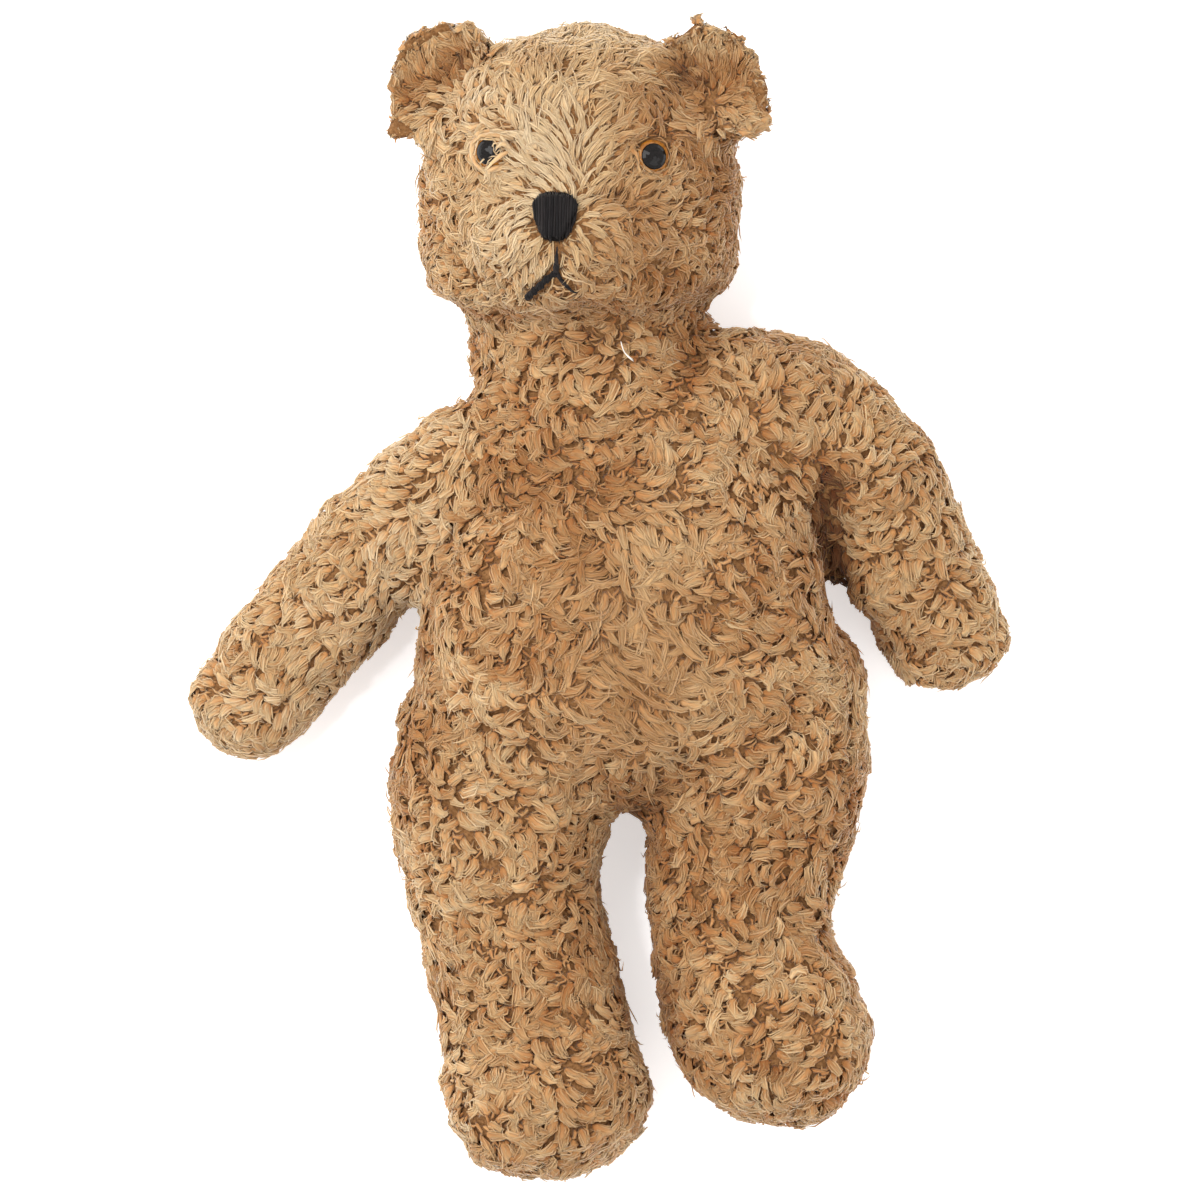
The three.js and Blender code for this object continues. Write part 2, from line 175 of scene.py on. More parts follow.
class Waves:
    """A smooth random field made of a few sine waves, the same on every run."""

    def __init__(self, seed: int, longest: float, shortest: float, count: int = 14) -> None:
        """Draws the waves.

        Args:
            seed: The seed of the draw.
            longest: The longest wave, in metres.
            shortest: The shortest wave, in metres.
            count: How many waves are summed.
        """
        rng = np.random.default_rng(seed)
        lengths = np.geomspace(longest, shortest, count)
        self.steps = unit(rng.normal(size=(count, 3))) * (2.0 * math.pi / lengths)[:, None]
        self.phases = rng.uniform(0.0, 2.0 * math.pi, count)
        self.sizes = (lengths / longest) ** 0.5
        self.sizes = self.sizes / np.sqrt(np.sum(self.sizes**2) / 2.0)

    def at(self, points: np.ndarray) -> np.ndarray:
        """The field at each point, with a spread of about one."""
        return np.sin(points @ self.steps.T + self.phases) @ self.sizes


# ---------------------------------------------------------------- mesh writing


@dataclass
class Soup:
    """Gathers faces from several makers and writes them as one mesh."""

    points: list[np.ndarray] = field(default_factory=list)
    faces: list[np.ndarray] = field(default_factory=list)
    slots: list[np.ndarray] = field(default_factory=list)
    places: list[np.ndarray] = field(default_factory=list)
    locks: list[np.ndarray] = field(default_factory=list)
    fibres: list[np.ndarray] = field(default_factory=list)
    outs: list[np.ndarray] = field(default_factory=list)
    count: int = 0
    softness: float = 0.55

    def add_points(self, points: np.ndarray, lock: np.ndarray, fibre: np.ndarray, out: np.ndarray) -> int:
        """Adds vertices with what the pile's finish reads from them.

        Args:
            points: The places, one row each.
            lock: The painted shade of each point (0 deepest, 1 unshaded; along a thread, the share of the way
                to its end), its tint and its tone.
            fibre: The place of each point in the pattern of fibres.
            out: The way out of the skin at each point, which softens the strands' shading.

        Returns:
            The number of the first new vertex.
        """
        first = self.count
        self.points.append(points)
        self.locks.append(lock)
        self.fibres.append(fibre)
        self.outs.append(out)
        self.count += len(points)
        return first

    def add_faces(self, faces: np.ndarray, slot: int, places: np.ndarray) -> None:
        """Adds faces that all have the same number of corners.

        Args:
            faces: Vertex numbers, one row for each face.
            slot: The material slot.
            places: The place of each corner in the map, one row for each face.
        """
        self.faces.append(faces)
        self.slots.append(np.full(len(faces), slot))
        self.places.append(places.reshape(-1, 2))

    def write(self, name: str, materials: Sequence[bpy.types.Material]) -> bpy.types.Object:
        """Makes the object.

        Args:
            name: The piece's name.
            materials: The finishes, in slot order.

        Returns:
            The new object, linked to the scene.
        """
        mesh = bpy.data.meshes.new(name)
        loops = np.concatenate([f.ravel() for f in self.faces]).astype(np.int32)
        sizes = np.concatenate([np.full(len(f), f.shape[1]) for f in self.faces])
        starts = np.concatenate(([0], np.cumsum(sizes)[:-1])).astype(np.int32)
        mesh.vertices.add(self.count)
        mesh.vertices.foreach_set("co", np.concatenate(self.points).astype(np.float32).ravel())
        mesh.loops.add(len(loops))
        mesh.loops.foreach_set("vertex_index", loops)
        mesh.polygons.add(len(starts))
        mesh.polygons.foreach_set("loop_start", starts)
        mesh.polygons.foreach_set("material_index", np.concatenate(self.slots).astype(np.int32))
        mesh.polygons.foreach_set("use_smooth", np.ones(len(starts), bool))
        mesh.update(calc_edges=True)
        layer = mesh.uv_layers.new(name="OFBake")
        layer.uv.foreach_set("vector", np.concatenate(self.places).astype(np.float32).ravel())
        for title, values in (("lock", self.locks), ("fibre", self.fibres)):
            attribute = mesh.attributes.new(title, "FLOAT_VECTOR", "POINT")
            attribute.data.foreach_set("vector", np.concatenate(values).astype(np.float32).ravel())
        own = np.empty(self.count * 3, np.float32)
        mesh.vertex_normals.foreach_get("vector", own)
        own, out = own.reshape(-1, 3), np.concatenate(self.outs)
        share = self.softness * smooth(-0.5, 0.2, np.sum(own * out, axis=1, keepdims=True))
        mesh.normals_split_custom_set_from_vertices(unit(own + (out - own) * share).tolist())
        for material in materials:
            mesh.materials.append(material)
        made = bpy.data.objects.new(name, mesh)
        bpy.context.scene.collection.objects.link(made)
        return made


@dataclass(frozen=True)
class Tubes:
    """Many closed tubes of one pattern: a point at each end and rings between them."""

    sides: int
    rings: int
    band: tuple[float, float]
    slot: int = 1

    def add_walls(self, soup: Soup, start: np.ndarray) -> None:
        """Adds the faces of every tube, each in its own cell of the map.

        Args:
            soup: The mesh being gathered.
            start: The number of each tube's first vertex, one row each.
        """
        turns = np.arange(self.sides)
        after = (turns + 1) % self.sides
        low_edge, high_edge = self.band
        columns = max(1, math.ceil(math.sqrt(len(start) / (high_edge - low_edge))))
        tall = (high_edge - low_edge) / math.ceil(len(start) / columns)
        number = np.arange(len(start))
        corner = np.stack([number % columns / columns, low_edge + number // columns * tall], axis=1)

        def add(faces: np.ndarray, around: Sequence[np.ndarray], heights: Sequence[float]) -> None:
            """Adds one band of faces, with each corner's place round and along the tube.

            Args:
                faces: Vertex numbers within one tube, one row for each face.
                around: The place of each corner round the tube, one array for each corner.
                heights: The ring of each corner.
            """
            across = np.stack(around, axis=1) / self.sides
            along = np.broadcast_to(np.array(heights) / (self.rings + 1), across.shape)
            spots = np.array([0.06, 0.06]) + np.stack([across, along], axis=2) * 0.88
            spots = corner[:, None, None, :] + spots[None] * np.array([1.0 / columns, tall])
            soup.add_faces((start[:, :, None] + faces[None]).reshape(-1, faces.shape[1]), self.slot, spots)

        last = self.rings * self.sides
        middle, beyond = turns + 0.5, turns + 1.0
        add(np.stack([turns * 0, 1 + after, 1 + turns], axis=1), (middle, beyond, turns), (0, 1, 1))
        for ring in range(self.rings - 1):
            base = 1 + ring * self.sides
            upper = base + self.sides
            wall = np.stack([base + turns, base + after, upper + after, upper + turns], axis=1)
            add(wall, (turns, beyond, beyond, turns), (ring + 1, ring + 1, ring + 2, ring + 2))
        base = 1 + last - self.sides
        top = np.stack([base + turns, base + after, turns * 0 + 1 + last], axis=1)
        add(top, (turns, beyond, middle), (self.rings, self.rings, self.rings + 1))


def plain_object(name: str, points: np.ndarray, faces: Sequence[Sequence[int]]) -> bpy.types.Object:
    """A smooth-shaded object of the given points and faces, linked to the scene.

    Args:
        name: Its name.
        points: Its vertices.
        faces: Vertex numbers of each face.

    Returns:
        The new object.
    """
    mesh = bpy.data.meshes.new(name)
    mesh.from_pydata(np.asarray(points).tolist(), [], [list(map(int, f)) for f in faces])
    mesh.update()
    mesh.shade_smooth()
    made = bpy.data.objects.new(name, mesh)
    bpy.context.scene.collection.objects.link(made)
    return made


def evaluated(thing: bpy.types.Object) -> bpy.types.Mesh:
    """The object's mesh with its modifiers applied, as a new mesh.

    Args:
        thing: The object.

    Returns:
        The new mesh.
    """
    graph = bpy.context.evaluated_depsgraph_get()
    graph.update()
    return bpy.data.meshes.new_from_object(thing.evaluated_get(graph))


def discard(thing: bpy.types.Object) -> None:
    """Removes a helper object and its mesh.

    Args:
        thing: The object.
    """
    mesh = thing.data
    bpy.data.objects.remove(thing)
    bpy.data.meshes.remove(mesh)


def mesh_points(mesh: bpy.types.Mesh) -> np.ndarray:
    """The places of a mesh's vertices.

    Args:
        mesh: The mesh.

    Returns:
        One row for each vertex.
    """
    found = np.empty(len(mesh.vertices) * 3, np.float32)
    mesh.vertices.foreach_get("co", found)
    return found.reshape(-1, 3).astype(float)


def remeshed(points: np.ndarray, faces: np.ndarray, size: float) -> tuple[np.ndarray, np.ndarray]:
    """A closed skin of even quads round a soup of triangles.

    Args:
        points: The soup's points.
        faces: The soup's triangles.
        size: The side of a voxel, in metres.

    Returns:
        The points and the quads of the largest closed skin.
    """
    helper = plain_object("helper_soup", points, faces)
    voxels = helper.modifiers.new("voxels", "REMESH")
    voxels.mode = "VOXEL"
    voxels.voxel_size = size
    mesh = evaluated(helper)
    discard(helper)
    found = mesh_points(mesh)
    corners = np.empty(len(mesh.loops), np.int32)
    mesh.loops.foreach_get("vertex_index", corners)
    quads = corners.reshape(-1, 4)
    bpy.data.meshes.remove(mesh)
    return largest_skin(found, quads)


def largest_skin(points: np.ndarray, faces: np.ndarray) -> tuple[np.ndarray, np.ndarray]:
    """Keeps the connected skin with the most vertices.

    Args:
        points: The vertices.
        faces: The faces, one row each.

    Returns:
        The vertices and the faces that are kept.
    """
    label = np.arange(len(points))
    while True:
        lowest = label[faces].min(axis=1)
        new = label.copy()
        for column in range(faces.shape[1]):
            np.minimum.at(new, faces[:, column], lowest)
        new = new[new]
        if np.array_equal(new, label):
            break
        label = new
    kept = label == np.bincount(label).argmax()
    number = np.cumsum(kept) - 1
    return points[kept], number[faces[kept[faces[:, 0]]]]


def edges_of(faces: np.ndarray) -> np.ndarray:
    """Each edge of the faces once, as pairs of vertex numbers.

    Args:
        faces: Vertex numbers, one row for each face.

    Returns:
        One row for each edge.
    """
    pairs = np.stack([faces, np.roll(faces, -1, axis=1)], axis=2).reshape(-1, 2)
    return np.unique(np.sort(pairs, axis=1), axis=0)


def relaxed(points: np.ndarray, edges: np.ndarray, times: int) -> np.ndarray:
    """Points smoothed by their neighbours and pushed back out, so that thin parts keep their size.

    Args:
        points: The places.
        edges: Pairs of vertex numbers.
        times: How often it is done.

    Returns:
        The relaxed places.
    """
    degree = np.bincount(edges.ravel(), minlength=len(points))[:, None]
    for share in (0.5, -0.52) * times:
        total = np.zeros_like(points)
        np.add.at(total, edges[:, 0], points[edges[:, 1]])
        np.add.at(total, edges[:, 1], points[edges[:, 0]])
        points = points + share * (total / degree - points)
    return points


def skin_normals(points: np.ndarray, faces: np.ndarray) -> np.ndarray:
    """The outward normal at each vertex of a skin of quads.

    Args:
        points: The skin's vertices.
        faces: Its quads.

    Returns:
        A unit vector for each vertex.
    """
    across = points[faces[:, 2]] - points[faces[:, 0]]
    along = points[faces[:, 3]] - points[faces[:, 1]]
    flat = np.cross(across, along)
    total = np.zeros_like(points)
    for column in range(faces.shape[1]):
        np.add.at(total, faces[:, column], flat)
    return unit(total)


# ---------------------------------------------------------------- finishes


class Graph:
    """Builds one material's nodes with short calls."""

    def __init__(self, name: str) -> None:
        """Starts a material with a Principled shader.

        Args:
            name: The material's name.
        """
        self.material = bpy.data.materials.new(name)
        self.material.use_nodes = True
        self.tree = self.material.node_tree
        self.shader = self.tree.nodes["Principled BSDF"]

    def node(self, kind: str, **values: object) -> bpy.types.Node:
        """Adds a node; values are its settings, or its inputs where a name matches an input.

        Args:
            kind: The node's type.
            values: Settings or inputs, by name.

        Returns:
            The node.
        """
        made = self.tree.nodes.new(kind)
        for key, value in values.items():
            if key in made.inputs:
                made.inputs[key].default_value = value
            else:
                setattr(made, key, value)
        return made

    def feed(self, target: bpy.types.NodeSocket, source: object) -> None:
        """Links a socket to target, or sets target's own value.

        Args:
            target: The input.
            source: A socket, or a plain value.
        """
        if isinstance(source, bpy.types.NodeSocket):
            self.tree.links.new(source, target)
        else:
            target.default_value = source

    def attribute(self, name: str) -> bpy.types.NodeSocket:
        """The vector held by a mesh attribute."""
        return self.node("ShaderNodeAttribute", attribute_name=name).outputs["Vector"]

    def split(self, source: bpy.types.NodeSocket) -> Sequence[bpy.types.NodeSocket]:
        """The three numbers of a vector.

        Args:
            source: The vector.

        Returns:
            The sockets of X, Y and Z.
        """
        made = self.node("ShaderNodeSeparateXYZ")
        self.feed(made.inputs[0], source)
        return made.outputs

    def place(self) -> bpy.types.NodeSocket:
        """The place on the object, in metres."""
        return self.node("ShaderNodeTexCoord").outputs["Object"]

    def noise(self, where: bpy.types.NodeSocket, scale: float, detail: float = 2.0) -> bpy.types.NodeSocket:
        """Noise from 0 to 1.

        Args:
            where: The place to read it at.
            scale: Its scale.
            detail: How many finer layers it has.

        Returns:
            The noise.
        """
        made = self.node("ShaderNodeTexNoise", Scale=scale, Detail=detail)
        self.feed(made.inputs["Vector"], where)
        return made.outputs["Fac"]

    def math(self, way: str, first: object, second: object = 0.0) -> bpy.types.NodeSocket:
        """One sum of two numbers.

        Args:
            way: The operation's name.
            first: The first number.
            second: The second number.

        Returns:
            The result.
        """
        made = self.node("ShaderNodeMath", operation=way)
        self.feed(made.inputs[0], first)
        self.feed(made.inputs[1], second)
        return made.outputs[0]

    def spread(
        self, source: object, low: float, high: float, start: float = 0.0, end: float = 1.0
    ) -> bpy.types.NodeSocket:
        """A number from start to end taken to low to high.

        Args:
            source: The number.
            low: The result at start.
            high: The result at end.
            start: Where the source's range starts.
            end: Where it ends.

        Returns:
            The result.
        """
        made = self.node("ShaderNodeMapRange")
        for key, value in (("From Min", start), ("From Max", end), ("To Min", low), ("To Max", high)):
            made.inputs[key].default_value = value
        self.feed(made.inputs["Value"], source)
        return made.outputs[0]

    def ramp(self, source: object, stops: Sequence[tuple[float, Colour]]) -> bpy.types.NodeSocket:
        """Colours set along 0 to 1.

        Args:
            source: The number that picks the colour.
            stops: Each stop's place and colour.

        Returns:
            The colour.
        """
        made = self.node("ShaderNodeValToRGB")
        elements = made.color_ramp.elements
        while len(elements) < len(stops):
            elements.new(0.5)
        for element, (where, colour) in zip(elements, stops):
            element.position = where
            element.color = colour
        self.feed(made.inputs[0], source)
        return made.outputs["Color"]

    def shaded(self, colour: object, amount: bpy.types.NodeSocket) -> bpy.types.NodeSocket:
        """A colour times a number.

        Args:
            colour: The colour.
            amount: The number.

        Returns:
            The product.
        """
        made = self.node("ShaderNodeVectorMath", operation="SCALE")
        self.feed(made.inputs[0], colour)
        self.feed(made.inputs["Scale"], amount)
        return made.outputs[0]

    def tinted(self, first: object, second: object) -> bpy.types.NodeSocket:
        """Two colours multiplied.

        Args:
            first: One colour.
            second: The other colour.

        Returns:
            The product.
        """
        made = self.node("ShaderNodeVectorMath", operation="MULTIPLY")
        self.feed(made.inputs[0], first)
        self.feed(made.inputs[1], second)
        return made.outputs[0]

    def bump(self, height: bpy.types.NodeSocket, depth: float, strength: float = 1.0) -> None:
        """Raises the surface by a height from 0 to 1 times depth, in metres.

        Args:
            height: The height.
            depth: How high a height of 1 is.
            strength: How strongly it shows.
        """
        made = self.node("ShaderNodeBump", Strength=strength, Distance=depth)
        self.feed(made.inputs["Height"], height)
        self.feed(self.shader.inputs["Normal"], made.outputs[0])

    def colour(self, source: object) -> None:
        """Sets the base colour."""
        self.feed(self.shader.inputs["Base Color"], source)

    def set(self, **values: float) -> None:
        """Sets uniform values on the shader, with _ for a space in a socket's name.

        Args:
            values: Values by socket name.
        """
        for key, value in values.items():
            self.shader.inputs[key.replace("_", " ")].default_value = value


@dataclass(frozen=True)
class PileFinish:
    """Curled wool pile, streaked along each strand and pale at the tips, with painted shade at the roots, on
    each lock's lower side and in the marked creases, folds and hollows.
    """

    dark_tone_and_crease_shade: Colour = linear(98, 62, 36)
    dull: Colour = linear(163, 117, 72)
    clean: Colour = linear(199, 162, 117)
    faded: Colour = linear(218, 190, 152)
    # painted shade: the saturated brown of a shaded root or lower side, rising to none at bright
    painted_deep_shade: Colour = (0.7, 0.46, 0.27, 1.0)
    bright: Colour = WHITE

    def make(self) -> bpy.types.Material:
        """Builds the material.

        Returns:
            The material.
        """
        g = Graph("pile")
        # the lock attribute's first number is painted shade, 0 at a shaded root or lower side and 1 where
        # unshaded
        tip, tint, tone = g.split(g.attribute("lock"))
        streak = g.noise(g.attribute("fibre"), 1.0, 3.0)
        mottled = g.math("ADD", tone, g.spread(g.noise(g.place(), 60.0, 3.0), -0.12, 0.12))
        # the darkest stop is painted shade where the marks lower the tone in creases, folds and hollows;
        # elsewhere the tone differs at random and by panel
        stops = [(0.0, self.dark_tone_and_crease_shade), (0.36, self.dull), (0.66, self.clean), (1.0, self.faded)]
        colour = g.ramp(mottled, stops)
        # painted shade by depth in the pile, with none from three quarters of the way up
        rooted = g.ramp(tip, [(0.0, self.painted_deep_shade), (0.75, self.bright)])
        shade = g.math("MULTIPLY", g.spread(tint, 0.9, 1.07), g.spread(streak, 0.84, 1.1, 0.3, 0.7))
        g.colour(g.shaded(g.tinted(colour, rooted), shade))
        g.bump(streak, 0.15 * MM, 0.4)
        g.set(Roughness=0.85, Sheen_Weight=0.08, Sheen_Roughness=0.5, Specular_IOR_Level=0.12)
        g.set(Subsurface_Weight=0.5, Subsurface_Scale=1.8 * MM)
        g.feed(g.shader.inputs["Subsurface Radius"], (1.0, 0.92, 0.84))
        return g.material


@dataclass(frozen=True)
class BackingFinish:
    """The knitted backing cloth under the pile, in the dark brown of the shade between the locks: painted
    shade.
    """

    dark: Colour = linear(110, 74, 42)
    light: Colour = linear(150, 108, 68)

    def make(self) -> bpy.types.Material:
        """Builds the material.

        Returns:
            The material.
        """
        g = Graph("backing")
        cloud = g.noise(g.place(), 900.0, 4.0)
        knit = g.noise(g.place(), 1400.0, 2.0)
        g.colour(g.shaded(g.ramp(cloud, [(0.35, self.dark), (0.7, self.light)]), g.spread(knit, 0.7, 1.2)))
        g.bump(cloud, 0.6 * MM)
        g.set(Roughness=0.95, Specular_IOR_Level=0.15)
        return g.material


@dataclass(frozen=True)
class WaddingFinish:
    """Matted polyester wadding, off-white with clumped fibres."""

    def make(self) -> bpy.types.Material:
        """Builds the material.

        Returns:
            The material.
        """
        g = Graph("wadding")
        clump = g.noise(g.place(), 90.0, 6.0)
        wisps = g.noise(g.place(), 900.0, 4.0)
        stops = [(0.3, linear(196, 188, 170)), (0.7, linear(236, 231, 218))]
        g.colour(g.ramp(clump, stops))
        g.bump(g.math("ADD", clump, g.math("MULTIPLY", wisps, 0.4)), 1.5 * MM)
        g.set(Roughness=0.95, Sheen_Weight=0.4)
        return g.material


@dataclass(frozen=True)
class AmberFinish:
    """The painted amber back of a safety eye, under a clear gloss."""

    def make(self) -> bpy.types.Material:
        """Builds the material.

        Returns:
            The material.
        """
        g = Graph("amber")
        cloud = g.noise(g.place(), 700.0, 3.0)
        g.colour(g.ramp(cloud, [(0.3, linear(112, 64, 14)), (0.7, linear(170, 108, 30))]))
        g.set(Roughness=0.25, Coat_Weight=0.4, Coat_Roughness=0.06, Specular_IOR_Level=0.3)
        return g.material


@dataclass(frozen=True)
class BlackEyeFinish:
    """Moulded glossy black plastic with fine rub marks."""

    def make(self) -> bpy.types.Material:
        """Builds the material.

        Returns:
            The material.
        """
        g = Graph("black_eye")
        rubs = g.noise(g.place(), 1500.0, 4.0)
        g.colour(g.ramp(rubs, [(0.3, linear(12, 10, 9)), (0.8, linear(30, 26, 24))]))
        g.feed(g.shader.inputs["Roughness"], g.spread(rubs, 0.04, 0.09))
        g.set(Specular_IOR_Level=0.2)
        return g.material


@dataclass(frozen=True)
class NylonFinish:
    """Milky nylon of the washers behind the eyes."""

    def make(self) -> bpy.types.Material:
        """Builds the material.

        Returns:
            The material.
        """
        g = Graph("nylon")
        cloud = g.noise(g.place(), 500.0, 3.0)
        g.colour(g.ramp(cloud, [(0.3, linear(206, 204, 196)), (0.7, linear(228, 227, 221))]))
        g.bump(cloud, 0.1 * MM)
        g.set(Roughness=0.4)
        return g.material


@dataclass(frozen=True)
class YarnFinish:
    """Spun yarn with fibres that run along it."""

    name: str
    dark: Colour
    light: Colour
    sheen: float = 0.05

    def make(self) -> bpy.types.Material:
        """Builds the material.

        Returns:
            The material.
        """
        g = Graph(self.name)
        tint = g.split(g.attribute("lock"))[1]
        streak = g.noise(g.attribute("fibre"), 1.0, 3.0)
        mixed = g.math("ADD", g.math("MULTIPLY", streak, 0.7), g.math("MULTIPLY", tint, 0.5))
        g.colour(g.ramp(mixed, [(0.3, self.dark), (0.95, self.light)]))
        g.bump(streak, 0.2 * MM, 0.8)
        g.set(Roughness=0.75, Sheen_Weight=self.sheen, Sheen_Roughness=0.4, Specular_IOR_Level=0.15)
        return g.material


@dataclass(frozen=True)
class FeltFinish:
    """Black felt under the nose's stitches."""

    def make(self) -> bpy.types.Material:
        """Builds the material.

        Returns:
            The material.
        """
        g = Graph("felt")
        fuzz = g.noise(g.place(), 1800.0, 4.0)
        g.colour(g.ramp(fuzz, [(0.3, linear(8, 7, 7)), (0.7, linear(20, 17, 16))]))
        g.bump(fuzz, 0.3 * MM)
        g.set(Roughness=0.95, Specular_IOR_Level=0.1)
        return g.material


@dataclass(frozen=True)
class FloorFinish:
    """Plain pale studio paper with a trace of tooth."""

    def make(self) -> bpy.types.Material:
        """Builds the material.

        Returns:
            The material.
        """
        g = Graph("floor")
        tooth = g.noise(g.place(), 40.0, 3.0)
        g.colour(g.ramp(tooth, [(0.0, (0.86, 0.86, 0.86, 1.0)), (1.0, (0.9, 0.9, 0.9, 1.0))]))
        g.set(Roughness=0.9, Specular_IOR_Level=0.1, Emission_Strength=0.5)
        g.feed(g.shader.inputs["Emission Color"], WHITE)
        return g.material


# ---------------------------------------------------------------- the bear's soft form


class Part(Enum):
    """Which part of the bear a panel belongs to."""

    HEAD = "head"
    EAR = "ear"
    TORSO = "torso"
    ARM = "arm"
    LEG = "leg"

    @classmethod
    def of(cls, node: str) -> "Part":
        """The part that a node's name starts with."""
        return cls(node.split("_")[0])


@dataclass
class SoftForm:
    """The stuffed skin that the pile grows on, as one closed surface cut into its sewn panels."""

    panels: list[str]
    wads: list[str]
    voxel: float = 4.2 * MM
    inset: float = 3.6 * MM
    pressure: float = 4.0
    most_swell: float = 3.5 * MM
    last_frame: int = 20
    tuft: float = 0.7 * MM

    def build(self) -> None:
        """Makes the skin, swells it and sorts its faces by panel."""
        names = self.panels + self.wads
        soup, triangles, owner = node_arrays(names)
        for push in PARTINGS:
            leg = push.node.rsplit("_", 2)[0]
            own = np.array([name.startswith(leg) for name in names])[owner]
            mine = np.unique(triangles[own])
            soup[mine] += push.of(soup[mine])
        points, quads = remeshed(soup, triangles, self.voxel)
        edges = edges_of(quads)
        points = relaxed(points, edges, 6)
        points = points - skin_normals(points, quads) * self.inset
        points = relaxed(points, edges, 3)
        cad_points, cad_faces, self.owner = node_arrays(self.panels)
        self.cad = BVHTree.FromPolygons(cad_points.tolist(), cad_faces.tolist())
        self.points, self.quads = self.swollen(points, quads, edges), quads
        normals = skin_normals(self.points, self.quads)
        for mark in MARKS:
            if mark.effect is Effect.SUNK:
                self.points = self.points - normals * (mark.at(self.points) * MM)[:, None]
        self.points = self.points + sum(push.of(self.points) for push in PUSHES)
        normals = skin_normals(self.points, self.quads)
        tufts = Waves(SEED + 1, 30 * MM, 9 * MM).at(self.points)
        self.points = self.points + normals * (tufts * self.tuft)[:, None]
        self.points[:, 2] = np.maximum(self.points[:, 2], 1.2 * MM)
        self.normals = skin_normals(self.points, self.quads)
        self.tree = BVHTree.FromPolygons(self.points.tolist(), self.quads.tolist())
        self.face_normals = unit(self.normals[self.quads].sum(axis=1))
        middles = self.points[self.quads].mean(axis=1)
        self.panel_of = self.owners(middles + self.face_normals * self.inset)

    def owners(self, points: np.ndarray) -> np.ndarray:
        """The number of the panel nearest to each point."""
        return np.array([self.owner[self.cad.find_nearest(p)[2]] for p in points.tolist()])

    def swollen(self, points: np.ndarray, quads: np.ndarray, edges: np.ndarray) -> np.ndarray:
        """The skin blown up by its stuffing between the seams, by a cloth simulation.

        Args:
            points: The skin's vertices.
            quads: Its faces.
            edges: Its edges.

        Returns:
            The swollen vertices, none moved further than most_swell.
        """
        sides = self.owners(points)
        seam = np.unique(edges[sides[edges[:, 0]] != sides[edges[:, 1]]])
        bag = plain_object("helper_bag", points, quads)
        held = bag.vertex_groups.new(name="seams")
        held.add(seam.tolist(), 1.0, "REPLACE")
        cloth = bag.modifiers.new("stuffing", "CLOTH")
        cloth.settings.use_pressure = True
        cloth.settings.uniform_pressure_force = self.pressure
        cloth.settings.effector_weights.gravity = 0.0
        cloth.settings.vertex_group_mass = "seams"
        cloth.point_cache.frame_end = self.last_frame
        scene = bpy.context.scene
        for number in range(1, self.last_frame + 1):
            scene.frame_set(number)
        mesh = evaluated(bag)
        moved = mesh_points(mesh) - points
        bpy.data.meshes.remove(mesh)
        discard(bag)
        scene.frame_set(1)
        size = np.linalg.norm(moved, axis=1, keepdims=True)
        LOG.info("stuffing moved the skin by %.2f mm at most", size.max() / MM)
        return points + moved * np.minimum(1.0, self.most_swell / np.maximum(size, 1e-9))

    def nearest(self, points: np.ndarray) -> tuple[np.ndarray, np.ndarray, np.ndarray]:
        """The nearest place on the skin to each point.

        Args:
            points: The points.

        Returns:
            The places, the skin's normals there, and the numbers of the faces.
        """
        spots = np.empty_like(points)
        faces = np.empty(len(points), int)
        for row, point in enumerate(points.tolist()):
            where, _, face, _ = self.tree.find_nearest(point)
            spots[row] = where
            faces[row] = face
        return spots, self.face_normals[faces], faces


# ---------------------------------------------------------------- the pile


class Effect(Enum):
    """What a marked place does to the pile there."""

    # painted shade in creases, folds and hollows
    DARK = "dark"
    PALE = "pale"
    COMBED = "combed"
    RUBBED = "rubbed"
    SUNK = "sunk"
    CLEAR = "clear"


# A clear mark lays strands aside above this height, which leaves the back of the head alone.
CLEAR_ABOVE = 40 * MM
# It takes away strands that are rooted this near to its line, as a share of its reach, or cross this near,
# and beside an eye also those with more than this share of their stations laid aside.
ROOTED_SHARE = 0.45
CROSSING_SHARE = 0.72
WRAPPED_SHARE = 0.4


